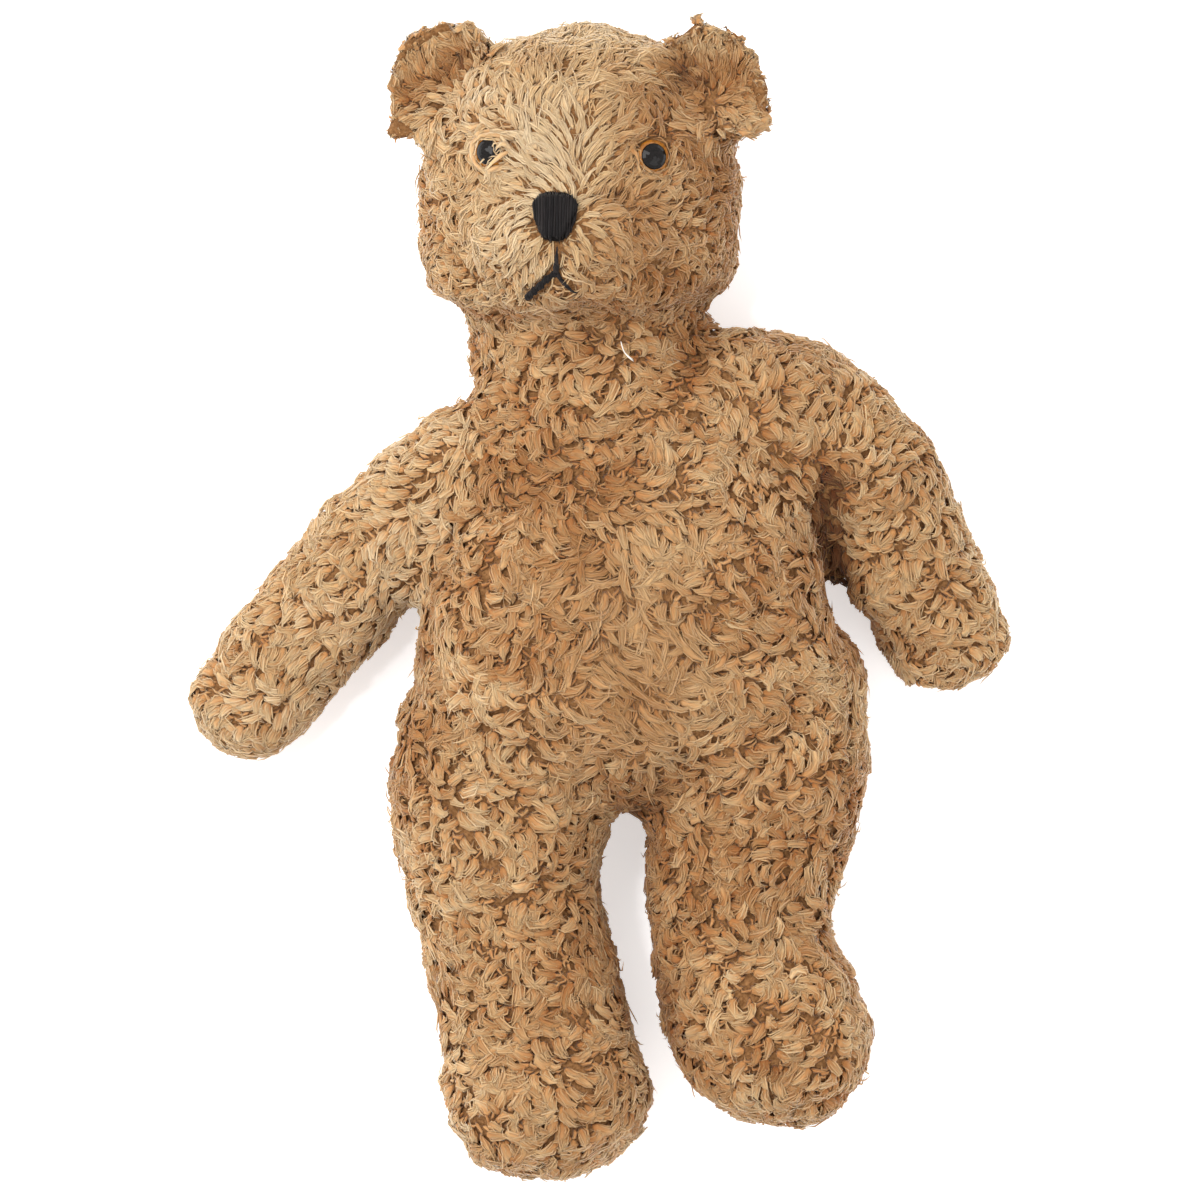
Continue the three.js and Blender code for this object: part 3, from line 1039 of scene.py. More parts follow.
@dataclass(frozen=True)
class Mark:
    """A place on the bear where the pile differs, from one point to another.

    The points are shares of the node's box. The effect fades over reach from the line between them.
    """

    effect: Effect
    node: str
    start: tuple[float, float, float]
    end: tuple[float, float, float]
    reach: float
    amount: float = 1.0

    def at(self, points: np.ndarray) -> np.ndarray:
        """How strongly each point is marked, from 0 to amount.

        Args:
            points: The points.

        Returns:
            One number for each point.
        """
        a, b = place(self.node, *self.start), place(self.node, *self.end)
        line = b - a
        share = np.clip((points - a) @ line / max(line @ line, 1e-12), 0.0, 1.0)
        gap = np.linalg.norm(points - a - share[:, None] * line, axis=1)
        return self.amount * np.exp(-((gap / self.reach) ** 2))

    def level_gap(self, points: np.ndarray) -> np.ndarray:
        """The level way to each point from the nearest place on the marked line.

        Args:
            points: The points, in any number of rows.

        Returns:
            One vector for each point, with no height.
        """
        a, b = place(self.node, *self.start) * FLAT, place(self.node, *self.end) * FLAT
        line = b - a
        flat = points * FLAT - a
        share = np.clip(flat @ line / max(line @ line, 1e-12), 0.0, 1.0)
        return flat - share[..., None] * line

    def parted(self, centre: np.ndarray, margin: float) -> tuple[np.ndarray, np.ndarray]:
        """Strands laid aside from the line that this mark keeps clear.

        Args:
            centre: The stations of each strand.
            margin: How much wider the clear line is for these strands.

        Returns:
            The stations moved aside, and true for each strand that is kept.
        """
        gap = self.level_gap(centre)
        size = np.linalg.norm(gap, axis=-1)
        least = self.reach + margin
        near = (size < least) & (centre[..., 2] > CLEAR_ABOVE)
        moved = centre + gap * (least / np.maximum(size, 1e-6) - 1)[..., None]
        moved = np.where(near[..., None], moved, centre)
        middle = (moved[:, 1:] + moved[:, :-1]) / 2
        crossing = np.linalg.norm(self.level_gap(middle), axis=-1) < least * CROSSING_SHARE
        lost = (crossing & (middle[..., 2] > CLEAR_ABOVE)).any(axis=1)
        lost |= near[:, 0] & (size[:, 0] < least * ROOTED_SHARE)
        if self.node.startswith("eye"):
            lost |= near.mean(axis=1) > WRAPPED_SHARE
        return moved, ~lost


MARKS = (
    # crotch and hip creases, darkened as painted shade
    Mark(Effect.DARK, "torso_front_right_panel", (0.97, 0.03, 0.2), (0.97, 0.03, 0.9), 9 * MM, 0.5),
    Mark(Effect.DARK, "torso_front_left_panel", (0.0, 0.03, 0.5), (0.5, 0.16, 0.5), 6 * MM, 0.45),
    Mark(Effect.DARK, "torso_front_left_panel", (0.02, 0.1, 1.0), (0.33, 0.33, 1.0), 4 * MM, 0.3),
    # folds where the arms join, darkened as painted shade
    Mark(Effect.DARK, "arm_left_front_panel", (0.4, 0.57, 0.68), (0.41, 0.36, 0.18), 7 * MM, 1.6),
    Mark(Effect.DARK, "torso_front_right_panel", (0.14, 0.4, 0.2), (0.2, 0.55, 0.4), 8 * MM, 0.5),
    # neck crease under the chin, darkened as painted shade
    Mark(Effect.DARK, "torso_front_right_panel", (0.45, 0.98, 0.6), (1.0, 0.97, 0.8), 6 * MM, 0.5),
    Mark(Effect.DARK, "torso_front_left_panel", (0.0, 1.0, 0.8), (0.45, 0.98, 0.5), 6 * MM, 0.5),
    Mark(Effect.DARK, "head_right_panel", (0.31, 0.05, 0.61), (0.64, 0.02, 0.71), 5 * MM, 0.6),
    Mark(Effect.DARK, "head_left_panel", (0.0, 0.03, 0.72), (0.45, 0.03, 0.72), 5 * MM, 0.6),
    # ear hollows, darkened as painted shade
    Mark(Effect.DARK, "ear_right_front_panel", (0.25, 0.4, 0.3), (0.75, 0.52, 0.35), 6 * MM, 0.9),
    Mark(Effect.DARK, "ear_left_front_panel", (0.25, 0.5, 0.35), (0.6, 0.46, 0.4), 6.5 * MM, 0.9),
    # inner calf, darkened as painted shade
    Mark(Effect.DARK, "leg_right_inner_panel", (0.9, 0.35, 0.6), (0.95, 0.55, 0.6), 12 * MM, 0.35),
    # smooth, rubbed and faded places
    Mark(Effect.PALE, "leg_left_inner_panel", (0.6, 0.05, 0.6), (0.9, 0.2, 0.8), 26 * MM, 0.5),
    Mark(Effect.COMBED, "head_gusset_panel", (0.3, 0.3, 1.0), (0.5, 0.75, 0.6), 30 * MM),
    Mark(Effect.PALE, "head_gusset_panel", (0.3, 0.4, 1.0), (0.45, 0.8, 0.6), 26 * MM, 0.7),
    Mark(Effect.COMBED, "torso_front_left_panel", (0.0, 0.12, 1.0), (0.05, 0.45, 1.0), 28 * MM, 0.8),
    Mark(Effect.PALE, "torso_front_left_panel", (0.0, 0.12, 1.0), (0.05, 0.45, 1.0), 22 * MM, 0.25),
    Mark(Effect.RUBBED, "torso_front_left_panel", (0.0, 0.12, 1.0), (0.02, 0.35, 1.0), 20 * MM, 0.5),
    # folds and seams drawn in by the stuffing, in millimetres of depth
    Mark(Effect.SUNK, "torso_front_left_panel", (0.0, 0.0, 1.0), (0.02, 0.4, 1.0), 4 * MM, 1.6),
    Mark(Effect.SUNK, "torso_front_left_panel", (0.02, 0.1, 1.0), (0.33, 0.33, 1.0), 5 * MM, 1.8),
    Mark(Effect.SUNK, "torso_front_left_panel", (0.0, 0.03, 0.6), (0.5, 0.16, 0.6), 6 * MM, 2.0),
    Mark(Effect.SUNK, "torso_front_left_panel", (0.98, 0.44, 0.5), (0.97, 0.64, 0.6), 7 * MM, 6.0),
    Mark(Effect.SUNK, "torso_front_right_panel", (0.14, 0.4, 0.4), (0.24, 0.62, 0.6), 6 * MM, 2.5),
    Mark(Effect.SUNK, "torso_front_right_panel", (0.45, 0.98, 0.6), (1.0, 0.97, 0.8), 6 * MM, 2.5),
    Mark(Effect.SUNK, "torso_front_left_panel", (0.0, 1.0, 0.8), (0.45, 0.98, 0.5), 6 * MM, 2.5),
    Mark(Effect.SUNK, "ear_right_front_panel", (0.4, 0.35, 0.8), (0.6, 0.5, 0.8), 9 * MM, 3.0),
    Mark(Effect.SUNK, "ear_left_front_panel", (0.4, 0.5, 0.8), (0.55, 0.6, 0.8), 9 * MM, 3.0),
    # places kept clear of pile: the nose, the mouth and the open part of each eye
    Mark(Effect.CLEAR, "nose_patch", (0.5, 0.57, 1.0), (0.5, 0.37, 1.0), 6.4 * MM),
    Mark(Effect.CLEAR, "mouth_centre_stitch", (0.6, 0.85, 1.0), (0.4, 0.0, 1.0), 0.9 * MM),
    Mark(Effect.CLEAR, "mouth_right_stitch", (0.95, 0.95, 1.0), (0.08, 0.05, 1.0), 1.2 * MM),
    Mark(Effect.CLEAR, "mouth_left_stitch", (0.1, 0.95, 1.0), (0.8, 0.1, 1.0), 0.6 * MM),
    Mark(Effect.CLEAR, "eye_left_iris", (0.58, 0.4, 1.0), (0.6, 0.66, 1.0), 4.6 * MM),
    Mark(Effect.CLEAR, "eye_right_iris", (0.28, 0.5, 1.0), (0.42, 0.7, 1.0), 2.6 * MM),
)


@dataclass(frozen=True)
class Push:
    """A place where the stuffing fills the skin out, or draws it in, along one direction.

    The place is in shares of the node's box, and way is in millimetres.
    """

    node: str
    at: tuple[float, float, float]
    reach: float
    way: tuple[float, float, float]

    def of(self, points: np.ndarray) -> np.ndarray:
        """How far each point is pushed, in metres."""
        gap = np.linalg.norm(points - place(self.node, *self.at), axis=1)
        return np.exp(-((gap / self.reach) ** 2))[:, None] * np.array(self.way) * MM


PUSHES = (
    # the ears' lower lobes
    Push("ear_right_front_panel", (0.05, 0.1, 0.4), 11 * MM, (-3.5, -6.5, 0.0)),
    Push("ear_left_front_panel", (0.98, 0.1, 0.4), 11 * MM, (5.5, -7.5, 0.0)),
    # paws
    Push("arm_right_front_panel", (0.0, 0.1, 0.0), 22 * MM, (-3.5, -0.5, 0.0)),
    Push("arm_left_front_panel", (1.0, 0.2, 0.0), 24 * MM, (3.0, 0.0, 0.0)),
    # the crown dips between the ears
    Push("head_gusset_panel", (0.95, 0.95, 0.6), 10 * MM, (0.0, -2.5, 0.0)),
    # the left foot and thigh
    Push("leg_left_inner_panel", (0.67, 0.05, 0.4), 22 * MM, (0.5, 3.5, 0.0)),
    Push("leg_left_inner_panel", (0.06, 0.56, 0.4), 30 * MM, (-1.3, 0.0, 0.0)),
    # the right armpit, sleeve and shoulder
    Push("arm_right_front_panel", (0.75, 0.38, 0.2), 14 * MM, (0.0, 3.5, 0.0)),
    Push("torso_front_right_panel", (0.15, 0.44, -0.2), 12 * MM, (3.5, 5.0, 0.0)),
    Push("arm_right_front_panel", (0.43, 0.44, 0.2), 45 * MM, (-1.3, 1.3, 0.0)),
    Push("torso_front_right_panel", (0.25, 0.83, -0.1), 22 * MM, (1.2, -1.8, 0.0)),
    # the left sleeve and paw
    Push("arm_left_front_panel", (0.59, 0.09, 0.2), 18 * MM, (2.5, 1.0, 0.0)),
    Push("arm_left_front_panel", (0.42, 0.31, 0.1), 12 * MM, (-3.0, -5.0, 0.0)),
    Push("arm_left_front_panel", (0.93, 0.05, 0.2), 18 * MM, (2.5, -1.5, 0.0)),
    Push("arm_left_front_panel", (0.96, 0.38, 0.2), 20 * MM, (-1.5, 0.0, 0.0)),
    # the flanks
    Push("torso_front_left_panel", (1.00, 0.30, -0.1), 16 * MM, (3.0, 0.0, 0.0)),
    Push("torso_front_left_panel", (0.95, 0.42, -0.1), 12 * MM, (1.5, -1.5, 0.0)),
    Push("torso_front_right_panel", (-0.01, 0.23, -0.1), 25 * MM, (2.0, 0.0, 0.0)),
    # the cheeks and the ears' edges
    Push("head_left_panel", (0.79, 0.08, 0.6), 14 * MM, (-2.5, 1.5, 0.0)),
    Push("ear_left_front_panel", (0.78, -0.12, 0.5), 15 * MM, (8.5, -5.0, 0.0)),
    Push("ear_right_front_panel", (0.09, 0.08, 0.5), 13 * MM, (-2.5, -2.5, 0.0)),
    Push("ear_right_front_panel", (0.82, 0.93, 0.5), 12 * MM, (1.0, 2.5, 0.0)),
    Push("ear_left_front_panel", (0.96, 0.40, 0.5), 14 * MM, (-1.5, 0.0, 0.0)),
    Push("head_right_panel", (0.15, 0.10, 0.6), 14 * MM, (-2.0, -1.0, 0.0)),
    # the crotch
    Push("torso_front_right_panel", (0.99, -0.02, -0.1), 9 * MM, (0.0, 2.5, 0.0)),
)

# the feet lie apart: each of these moves its own leg only
PARTINGS = (
    Push("leg_right_inner_panel", (0.96, 0.33, 0.5), 24 * MM, (-3.2, 0.0, 0.0)),
    Push("leg_left_inner_panel", (0.06, 0.22, 0.45), 26 * MM, (2.0, 0.0, 0.0)),
    Push("leg_left_inner_panel", (0.1, 0.1, 0.4), 16 * MM, (1.5, 3.0, 0.0)),
)


@dataclass(frozen=True)
class Knob:
    """Something hard that stands in the pile, which the strands part round or lie over."""

    node: str
    radius: float
    sink: float

    def parted(self, points: np.ndarray, margin: float) -> np.ndarray:
        """Points moved out of the knob, by a margin more than its radius.

        Args:
            points: The points.
            margin: The extra distance.

        Returns:
            The points, moved where they were inside.
        """
        middle = place(self.node, 0.5, 0.5, 1.0) - UP * self.sink
        gap = points - middle
        size = np.linalg.norm(gap, axis=-1, keepdims=True)
        least = self.radius + margin
        return np.where(size < least, middle + gap / np.maximum(size, 1e-9) * least, points)


KNOBS = (
    Knob("eye_left_pupil_stem", 7.2 * MM, 6.9 * MM),
    Knob("eye_right_pupil_stem", 7.2 * MM, 6.9 * MM),
)


@dataclass(frozen=True)
class Nap:
    """How the pile of one part lies before the marks change it."""

    heading: tuple[float, float, float]
    curl: float
    tone: float
    fine: float = 1.0
    dense: float = 1.0


@dataclass
class Locks:
    """Locks of curled wool rooted all over the skin: where each one starts and the way that it lies.

    under is 1 for a lock on the side that the bear lies on. free is how far a lock leaves the skin's bends.
    """

    form: SoftForm
    seed: int
    spacing: float = 3.15 * MM
    spacing_under: float = 6.0 * MM
    group_spacing: float = 10.0 * MM
    length: float = 10.0 * MM
    rise: float = 1.9 * MM
    stations: int = 7

    def naps(self) -> list[Nap]:
        """The nap of each panel, in the panels' order.

        Returns:
            One nap for each panel.
        """
        found = []
        for name in self.form.panels:
            side = 1.0 if "left" in name else -1.0
            # the head, arms and legs get a lighter tone on the bear's right, the side that faces the key
            # light: partly the wool's own tone, partly painted light
            left_arm = Nap((0.75, -0.66, 0.0), 0.6, 0.56, 0.9)
            right_arm = Nap((-0.72, -0.69, 0.0), 0.4, 0.7, 0.9)
            choices = {
                Part.HEAD: Nap((0.0, 0.0, 0.0), 0.6, 0.57 if side < 0 else 0.44, 0.72),
                Part.EAR: Nap((0.3 * side, 0.95, 0.0), 0.3, 0.6, 0.8, 1.4),
                Part.TORSO: Nap((0.1 * side, -1.0, 0.0), 0.8, 0.5),
                Part.ARM: left_arm if side > 0 else right_arm,
                Part.LEG: Nap((0.15 * side, -1.0, 0.0), 0.8, 0.46 if side > 0 else 0.54),
            }
            found.append(choices[Part.of(name)])
        return found

    def scattered(
        self, rng: np.random.Generator, top: float, under: float
    ) -> tuple[np.ndarray, np.ndarray, np.ndarray]:
        """Places on the skin no nearer to each other than a spacing.

        Args:
            rng: The random draws.
            top: The spacing where the skin faces up or sideways.
            under: The spacing on the side it lies on.

        Returns:
            The places, their normals, and the faces they are on.
        """
        points, quads = self.form.points, self.form.quads
        corner = points[quads]
        across, along = corner[:, 2] - corner[:, 0], corner[:, 3] - corner[:, 1]
        area = np.linalg.norm(np.cross(across, along), axis=1) / 2
        count = int(area.sum() / top**2 * 5)
        face = rng.choice(len(quads), count, p=area / area.sum())
        a, b = rng.random((2, count, 1))
        picked = corner[face]
        near_side = picked[:, 0] * (1 - a) + picked[:, 1] * a
        far_side = picked[:, 3] * (1 - a) + picked[:, 2] * a
        where = near_side * (1 - b) + far_side * b
        normal = self.form.face_normals[face]
        gap = top + (under - top) * smooth(0.0, 0.5, -normal[:, 2])
        gap = gap * np.array([n.fine / n.dense for n in self.naps()])[self.form.panel_of[face]]
        cells: dict[tuple[int, int, int], list[tuple[float, float, float]]] = {}
        size = under
        kept = []
        around = [(i, j, k) for i in (-1, 0, 1) for j in (-1, 0, 1) for k in (-1, 0, 1)]
        for row, (x, y, z) in enumerate(where.tolist()):
            cx, cy, cz = int(x // size), int(y // size), int(z // size)
            least = gap[row] ** 2
            crowded = False
            for i, j, k in around:
                for px, py, pz in cells.get((cx + i, cy + j, cz + k), ()):
                    if (px - x) ** 2 + (py - y) ** 2 + (pz - z) ** 2 < least:
                        crowded = True
                        break
                if crowded:
                    break
            if not crowded:
                cells.setdefault((cx, cy, cz), []).append((x, y, z))
                kept.append(row)
        return where[kept], normal[kept], face[kept]

    def build(self) -> None:
        """Roots the locks and works out the path of every one."""
        rng = np.random.default_rng(self.seed)
        self.root, self.normal, face = self.scattered(rng, self.spacing, self.spacing_under)
        self.panel = self.form.panel_of[face]
        self.under = smooth(0.05, 0.6, -self.normal[:, 2])
        groups, _, _ = self.scattered(rng, self.group_spacing, self.group_spacing * 1.2)
        tree = KDTree(len(groups))
        for number, spot in enumerate(groups.tolist()):
            tree.insert(spot, number)
        tree.balance()
        group = np.array([tree.find(p)[1] for p in self.root.tolist()])
        count = len(self.root)
        marked = {e: np.zeros(count) for e in Effect}
        for mark in MARKS:
            if mark.effect not in (Effect.CLEAR, Effect.SUNK):
                marked[mark.effect] = np.maximum(marked[mark.effect], mark.at(self.root))
        rows = self.naps()
        combed = marked[Effect.COMBED]
        curl = np.array([n.curl for n in rows])[self.panel] * (1 - 0.8 * combed)
        tone = np.array([n.tone for n in rows])[self.panel]
        heading = self.headings(rows)
        group_turn, group_lift, group_tone = rng.normal(size=(3, len(groups)))[:, group]
        group_hand = rng.choice([-1.0, 1.0], len(groups))[group]
        swirl = Waves(SEED + 2, 70 * MM, 20 * MM).at(self.root)
        turn = curl * (0.55 * group_turn + 0.9 * swirl) + 0.25 * swirl
        turn = turn + rng.normal(0, 0.2, count) * (0.3 + curl)
        heading = turned(heading, self.normal, turn)
        self.curl, self.combed = curl, combed
        self.tone = tone + (0.05 * group_tone + rng.normal(0, 0.05, count)) * (1 - 0.6 * combed)
        # painted shade: the marked creases, folds and hollows get a darker tone
        self.tone = self.tone + 0.3 * marked[Effect.PALE] - 0.6 * marked[Effect.DARK]
        self.tone = self.tone + 0.06 * Waves(SEED + 3, 110 * MM, 35 * MM).at(self.root)
        hand = np.where(rng.random(count) < 0.88, group_hand, -group_hand)
        bend = hand * (0.1 + curl * rng.uniform(0.15, 0.95, count))
        bend = bend * np.where(rng.random(count) < 0.12, 1.8, 1.0)
        fine = np.array([n.fine for n in rows])[self.panel]
        length = self.length * rng.uniform(0.8, 1.35, count) * (1.0 + 0.6 * combed) * fine
        rise = self.rise * (1 + 0.12 * group_lift) * rng.uniform(0.75, 1.25, count)
        rise = rise * fine * (1 - 0.5 * combed) * (1 - 0.4 * marked[Effect.RUBBED]) * (1 - 0.6 * self.under)
        self.girth = rng.uniform(0.7, 1.15, count) * (1 - 0.35 * combed) * fine
        self.point = rng.uniform(0.05, 0.5, count) * (1 - 0.6 * combed)
        self.twist = hand * rng.uniform(0.2, 1.2, count)
        self.tuck = rng.uniform(-0.1, 0.6, count)
        ears = [number for number, name in enumerate(self.form.panels) if Part.of(name) is Part.EAR]
        self.free = np.where(np.isin(self.panel, ears), 0.7, 0.15)
        self.walk(heading, length, rise * (1 - 0.3 * marked[Effect.DARK]), bend)
        LOG.info("%d locks in %d groups", count, len(groups))

    def headings(self, rows: Sequence[Nap]) -> np.ndarray:
        """Where each lock sets out before it is turned, along the skin.

        Args:
            rows: The nap of each panel.

        Returns:
            A unit vector for each lock.
        """
        heading = np.array([n.heading for n in rows])[self.panel]
        bridge = place("nose_patch", 0.5, 0.55, 0.9)
        for number, name in enumerate(self.form.panels):
            mine = self.panel == number
            if Part.of(name) is Part.HEAD:
                heading[mine] = unit(self.root[mine] - bridge)
            elif Part.of(name) is Part.EAR:
                middle = place(name, 0.5, 0.35, 0.5)
                heading[mine] = unit(self.root[mine] - middle) + heading[mine] * 0.3
        heading = heading - np.sum(heading * self.normal, 1, keepdims=True) * self.normal
        return unit(heading + 1e-4)

    def walk(self, heading: np.ndarray, length: np.ndarray, rise: np.ndarray, bend: np.ndarray) -> None:
        """Walks every lock over the skin, which gives its path and the way out at each station.

        Args:
            heading: Where each lock sets out, along the skin.
            length: How long each lock is.
            rise: How high it stands at its crest.
            bend: How fast it turns, in radians.
        """
        steps = self.stations - 1
        spot, normal = self.root.copy(), self.normal.copy()
        path, outs = [spot - normal * 0.5 * MM], [normal]
        for step in range(1, self.stations):
            share = step / steps
            heading = turned(heading, normal, bend * (0.35 + 1.1 * share) * 4 / steps)
            ahead = spot + heading * (length / steps)[:, None]
            spot, normal, _ = self.form.nearest(ahead)
            spot = spot + (ahead - spot) * self.free[:, None]
            inward = np.sum(heading * normal, 1, keepdims=True) * (1 - 0.8 * self.free)[:, None]
            heading = unit(heading - inward * normal)
            crest = 1 - (1 - min(share / 0.45, 1.0)) ** 2 - self.tuck * max(0.0, (share - 0.45) / 0.55) ** 2
            path.append(spot + normal * (rise * crest)[:, None])
            outs.append(normal)
        self.path, self.outs = np.stack(path, axis=1), np.stack(outs, axis=1)


@dataclass
class Strands:
    """One layer of the pile: closed tapering strands, one or more along each lock's path.

    band is the layer's part of the map, cuts are the rings' places along a strand, spread and dome set the
    strands of one lock apart, and depth gives the painted shade at the root and at the tip, as how near to
    the unshaded colour they are; low_side is the painted shade on each strand's lower side.
    """

    locks: Locks
    seed: int
    band: tuple[float, float]
    wide: float
    thick: float
    cuts: tuple[float, ...]
    sides: int = 3
    each: int = 1
    each_under: int = 1
    spread: float = 0.0
    dome: float = 0.0
    reach: tuple[float, float] = (0.92, 1.0)
    wander: float = 0.0
    stray: float = 0.0
    grain: float = 1.6
    low_side: float = 1.0
    depth: tuple[float, float] = (0.0, 1.0)
    floor: float = 0.35 * MM

    def strands(self, panel: int, rng: np.random.Generator) -> dict[str, np.ndarray]:
        """Every strand of one panel's locks.

        Args:
            panel: The panel's number.
            rng: The random draws.

        Returns:
            Centre lines, half-widths, side, up and out directions, and each strand's tint, tone and number.
        """
        locks = self.locks
        mine = np.flatnonzero(locks.panel == panel)
        wanted = np.where(locks.under[mine] > 0.5, self.each_under, self.each)
        lock = np.repeat(mine, wanted)
        first = np.repeat(np.cumsum(wanted) - wanted, wanted)
        turn_in = (np.arange(len(lock)) - first + 0.5) / np.repeat(wanted, wanted)
        count, last = len(lock), locks.stations - 1
        u = np.array(self.cuts)[None, :]
        far = u * rng.uniform(*self.reach, count)[:, None]
        spot = np.minimum(far, 1.0) * last
        low = np.minimum(spot.astype(int), last - 1)
        part = (spot - low)[:, :, None]
        rows = np.arange(count)[:, None]
        line, out = locks.path[lock], locks.outs[lock]
        centre = line[rows, low] * (1 - part) + line[rows, low + 1] * part
        out = unit(out[rows, low] * (1 - part) + out[rows, low + 1] * part)
        along = unit(np.gradient(centre, axis=1))
        centre = centre + along * (np.maximum(far - 1.0, 0.0) * locks.length)[:, :, None]
        side = unit(np.cross(along, out))
        up = np.cross(side, along)
        girth = locks.girth[lock][:, None]
        narrow = 1 - locks.point[lock][:, None]
        profile = (0.5 + 0.5 * smooth(0.0, 0.38, u)) * (1 - narrow * smooth(0.45, 1.0, u))
        angle = (turn_in[:, None] - 0.5) * 2.3 + rng.normal(0, 0.15, count)[:, None]
        angle = angle + locks.twist[lock][:, None] * (u - 0.4) * 0.5
        offset = side * (np.sin(angle) * profile * girth * self.spread)[:, :, None]
        offset = offset + up * (np.cos(angle) * profile * girth * self.dome)[:, :, None]
        offset = offset + rng.normal(0, 1, (count, u.shape[1], 3)) * (self.wander * u)[:, :, None]
        loose = np.where(rng.random(count) < self.stray, rng.uniform(1.0 * MM, 3.2 * MM, count), 0.0)
        loose = loose * (1 - locks.under[lock])
        centre = centre + offset + out * (loose[:, None] * u**2)[:, :, None]
        if self.spread:
            shape = 0.8 + 0.5 * np.sin(np.pi * np.clip(u * 0.85 + 0.1, 0, 1))
            radius = self.wide * shape * rng.uniform(0.75, 1.25, count)[:, None]
        else:
            radius = self.wide * profile * girth
        for knob in KNOBS:
            centre = knob.parted(centre, self.wide * 0.5)
        kept = np.ones(count, bool)
        for mark in MARKS:
            if mark.effect is Effect.CLEAR:
                centre, off = mark.parted(centre, self.wide * 0.6)
                kept &= off
        centre[:, :, 2] = np.maximum(centre[:, :, 2], self.floor + radius * self.thick)
        made = {
            "centre": centre,
            "radius": radius,
            "side": side,
            "up": up,
            "out": out,
            "tint": rng.random(count),
            "tone": locks.tone[lock],
            "number": rng.random(count),
            "combed": locks.combed[lock],
        }
        return {title: values[kept] for title, values in made.items()}

    def add_to(self, soup: Soup, panel: int) -> int:
        """Adds one panel's strands to its mesh.

        Args:
            soup: The mesh being gathered.
            panel: The panel's number.

        Returns:
            How many strands were added.
        """
        rng = np.random.default_rng(self.seed + 100 + panel)
        made = self.strands(panel, rng)
        cuts = np.array(self.cuts)
        count, rings = len(made["tint"]), len(cuts) - 2
        phase = rng.uniform(0, 2 * np.pi, count) if self.spread else np.full(count, -np.pi / 2)
        angles = phase[:, None, None] + (2 * np.pi * np.arange(self.sides) / self.sides)[None, None, :]
        cosine, sine = np.cos(angles)[..., None], -np.sin(angles)[..., None]
        side, up = made["side"][:, 1:-1, None, :], made["up"][:, 1:-1, None, :]
        radius = made["radius"][:, 1:-1, None, None]
        centre, out = made["centre"], made["out"]
        ring = centre[:, 1:-1, None, :] + (side * cosine + up * sine * self.thick) * radius
        points = np.concatenate([centre[:, :1], ring.reshape(count, -1, 3), centre[:, -1:]], axis=1)
        points[:, :, 2] = np.maximum(points[:, :, 2], self.floor)
        per = points.shape[1]
        tip = np.concatenate([[0.0], np.repeat(cuts[1:-1], self.sides), [1.0]])
        # painted shade: darker from the tip to the root, and on each strand's lower side than on its crest;
        # combed pile is less shaded
        crest = np.broadcast_to(0.5 + 0.5 * sine[..., 0], (count, rings, self.sides)).reshape(count, -1)
        crest = np.concatenate([np.zeros((count, 1)), crest, np.full((count, 1), 0.6)], axis=1)
        depth = self.depth[0] + (self.depth[1] - self.depth[0]) * tip[None, :]
        depth = depth * (self.low_side + (1 - self.low_side) * crest)
        depth = depth + 0.5 * made["combed"][:, None] * (1 - depth)
        lock = np.stack(np.broadcast_arrays(depth, made["tint"][:, None], made["tone"][:, None]), axis=2)
        out = np.concatenate([out[:, :1], np.repeat(out[:, 1:-1], self.sides, axis=1), out[:, -1:]], axis=1)
        turn = np.broadcast_to(angles, (count, rings, self.sides)).reshape(count, -1) + tip[None, 1:-1] * 0.9
        shift = made["number"][:, None] * 90.0
        ends = np.zeros((count, 1))
        round_x = np.concatenate([ends, np.cos(turn), ends], axis=1) * self.grain
        round_y = np.concatenate([ends, np.sin(turn), ends], axis=1) * self.grain
        length = tip[None, :] * 1.1 + shift * 0.71
        fibre = np.stack([round_x + shift, round_y + shift * 0.37, length], axis=2)
        first = soup.add_points(*(values.reshape(-1, 3) for values in (points, lock, fibre, out)))
        Tubes(self.sides, rings, self.band).add_walls(soup, first + np.arange(count)[:, None] * per)
        return count


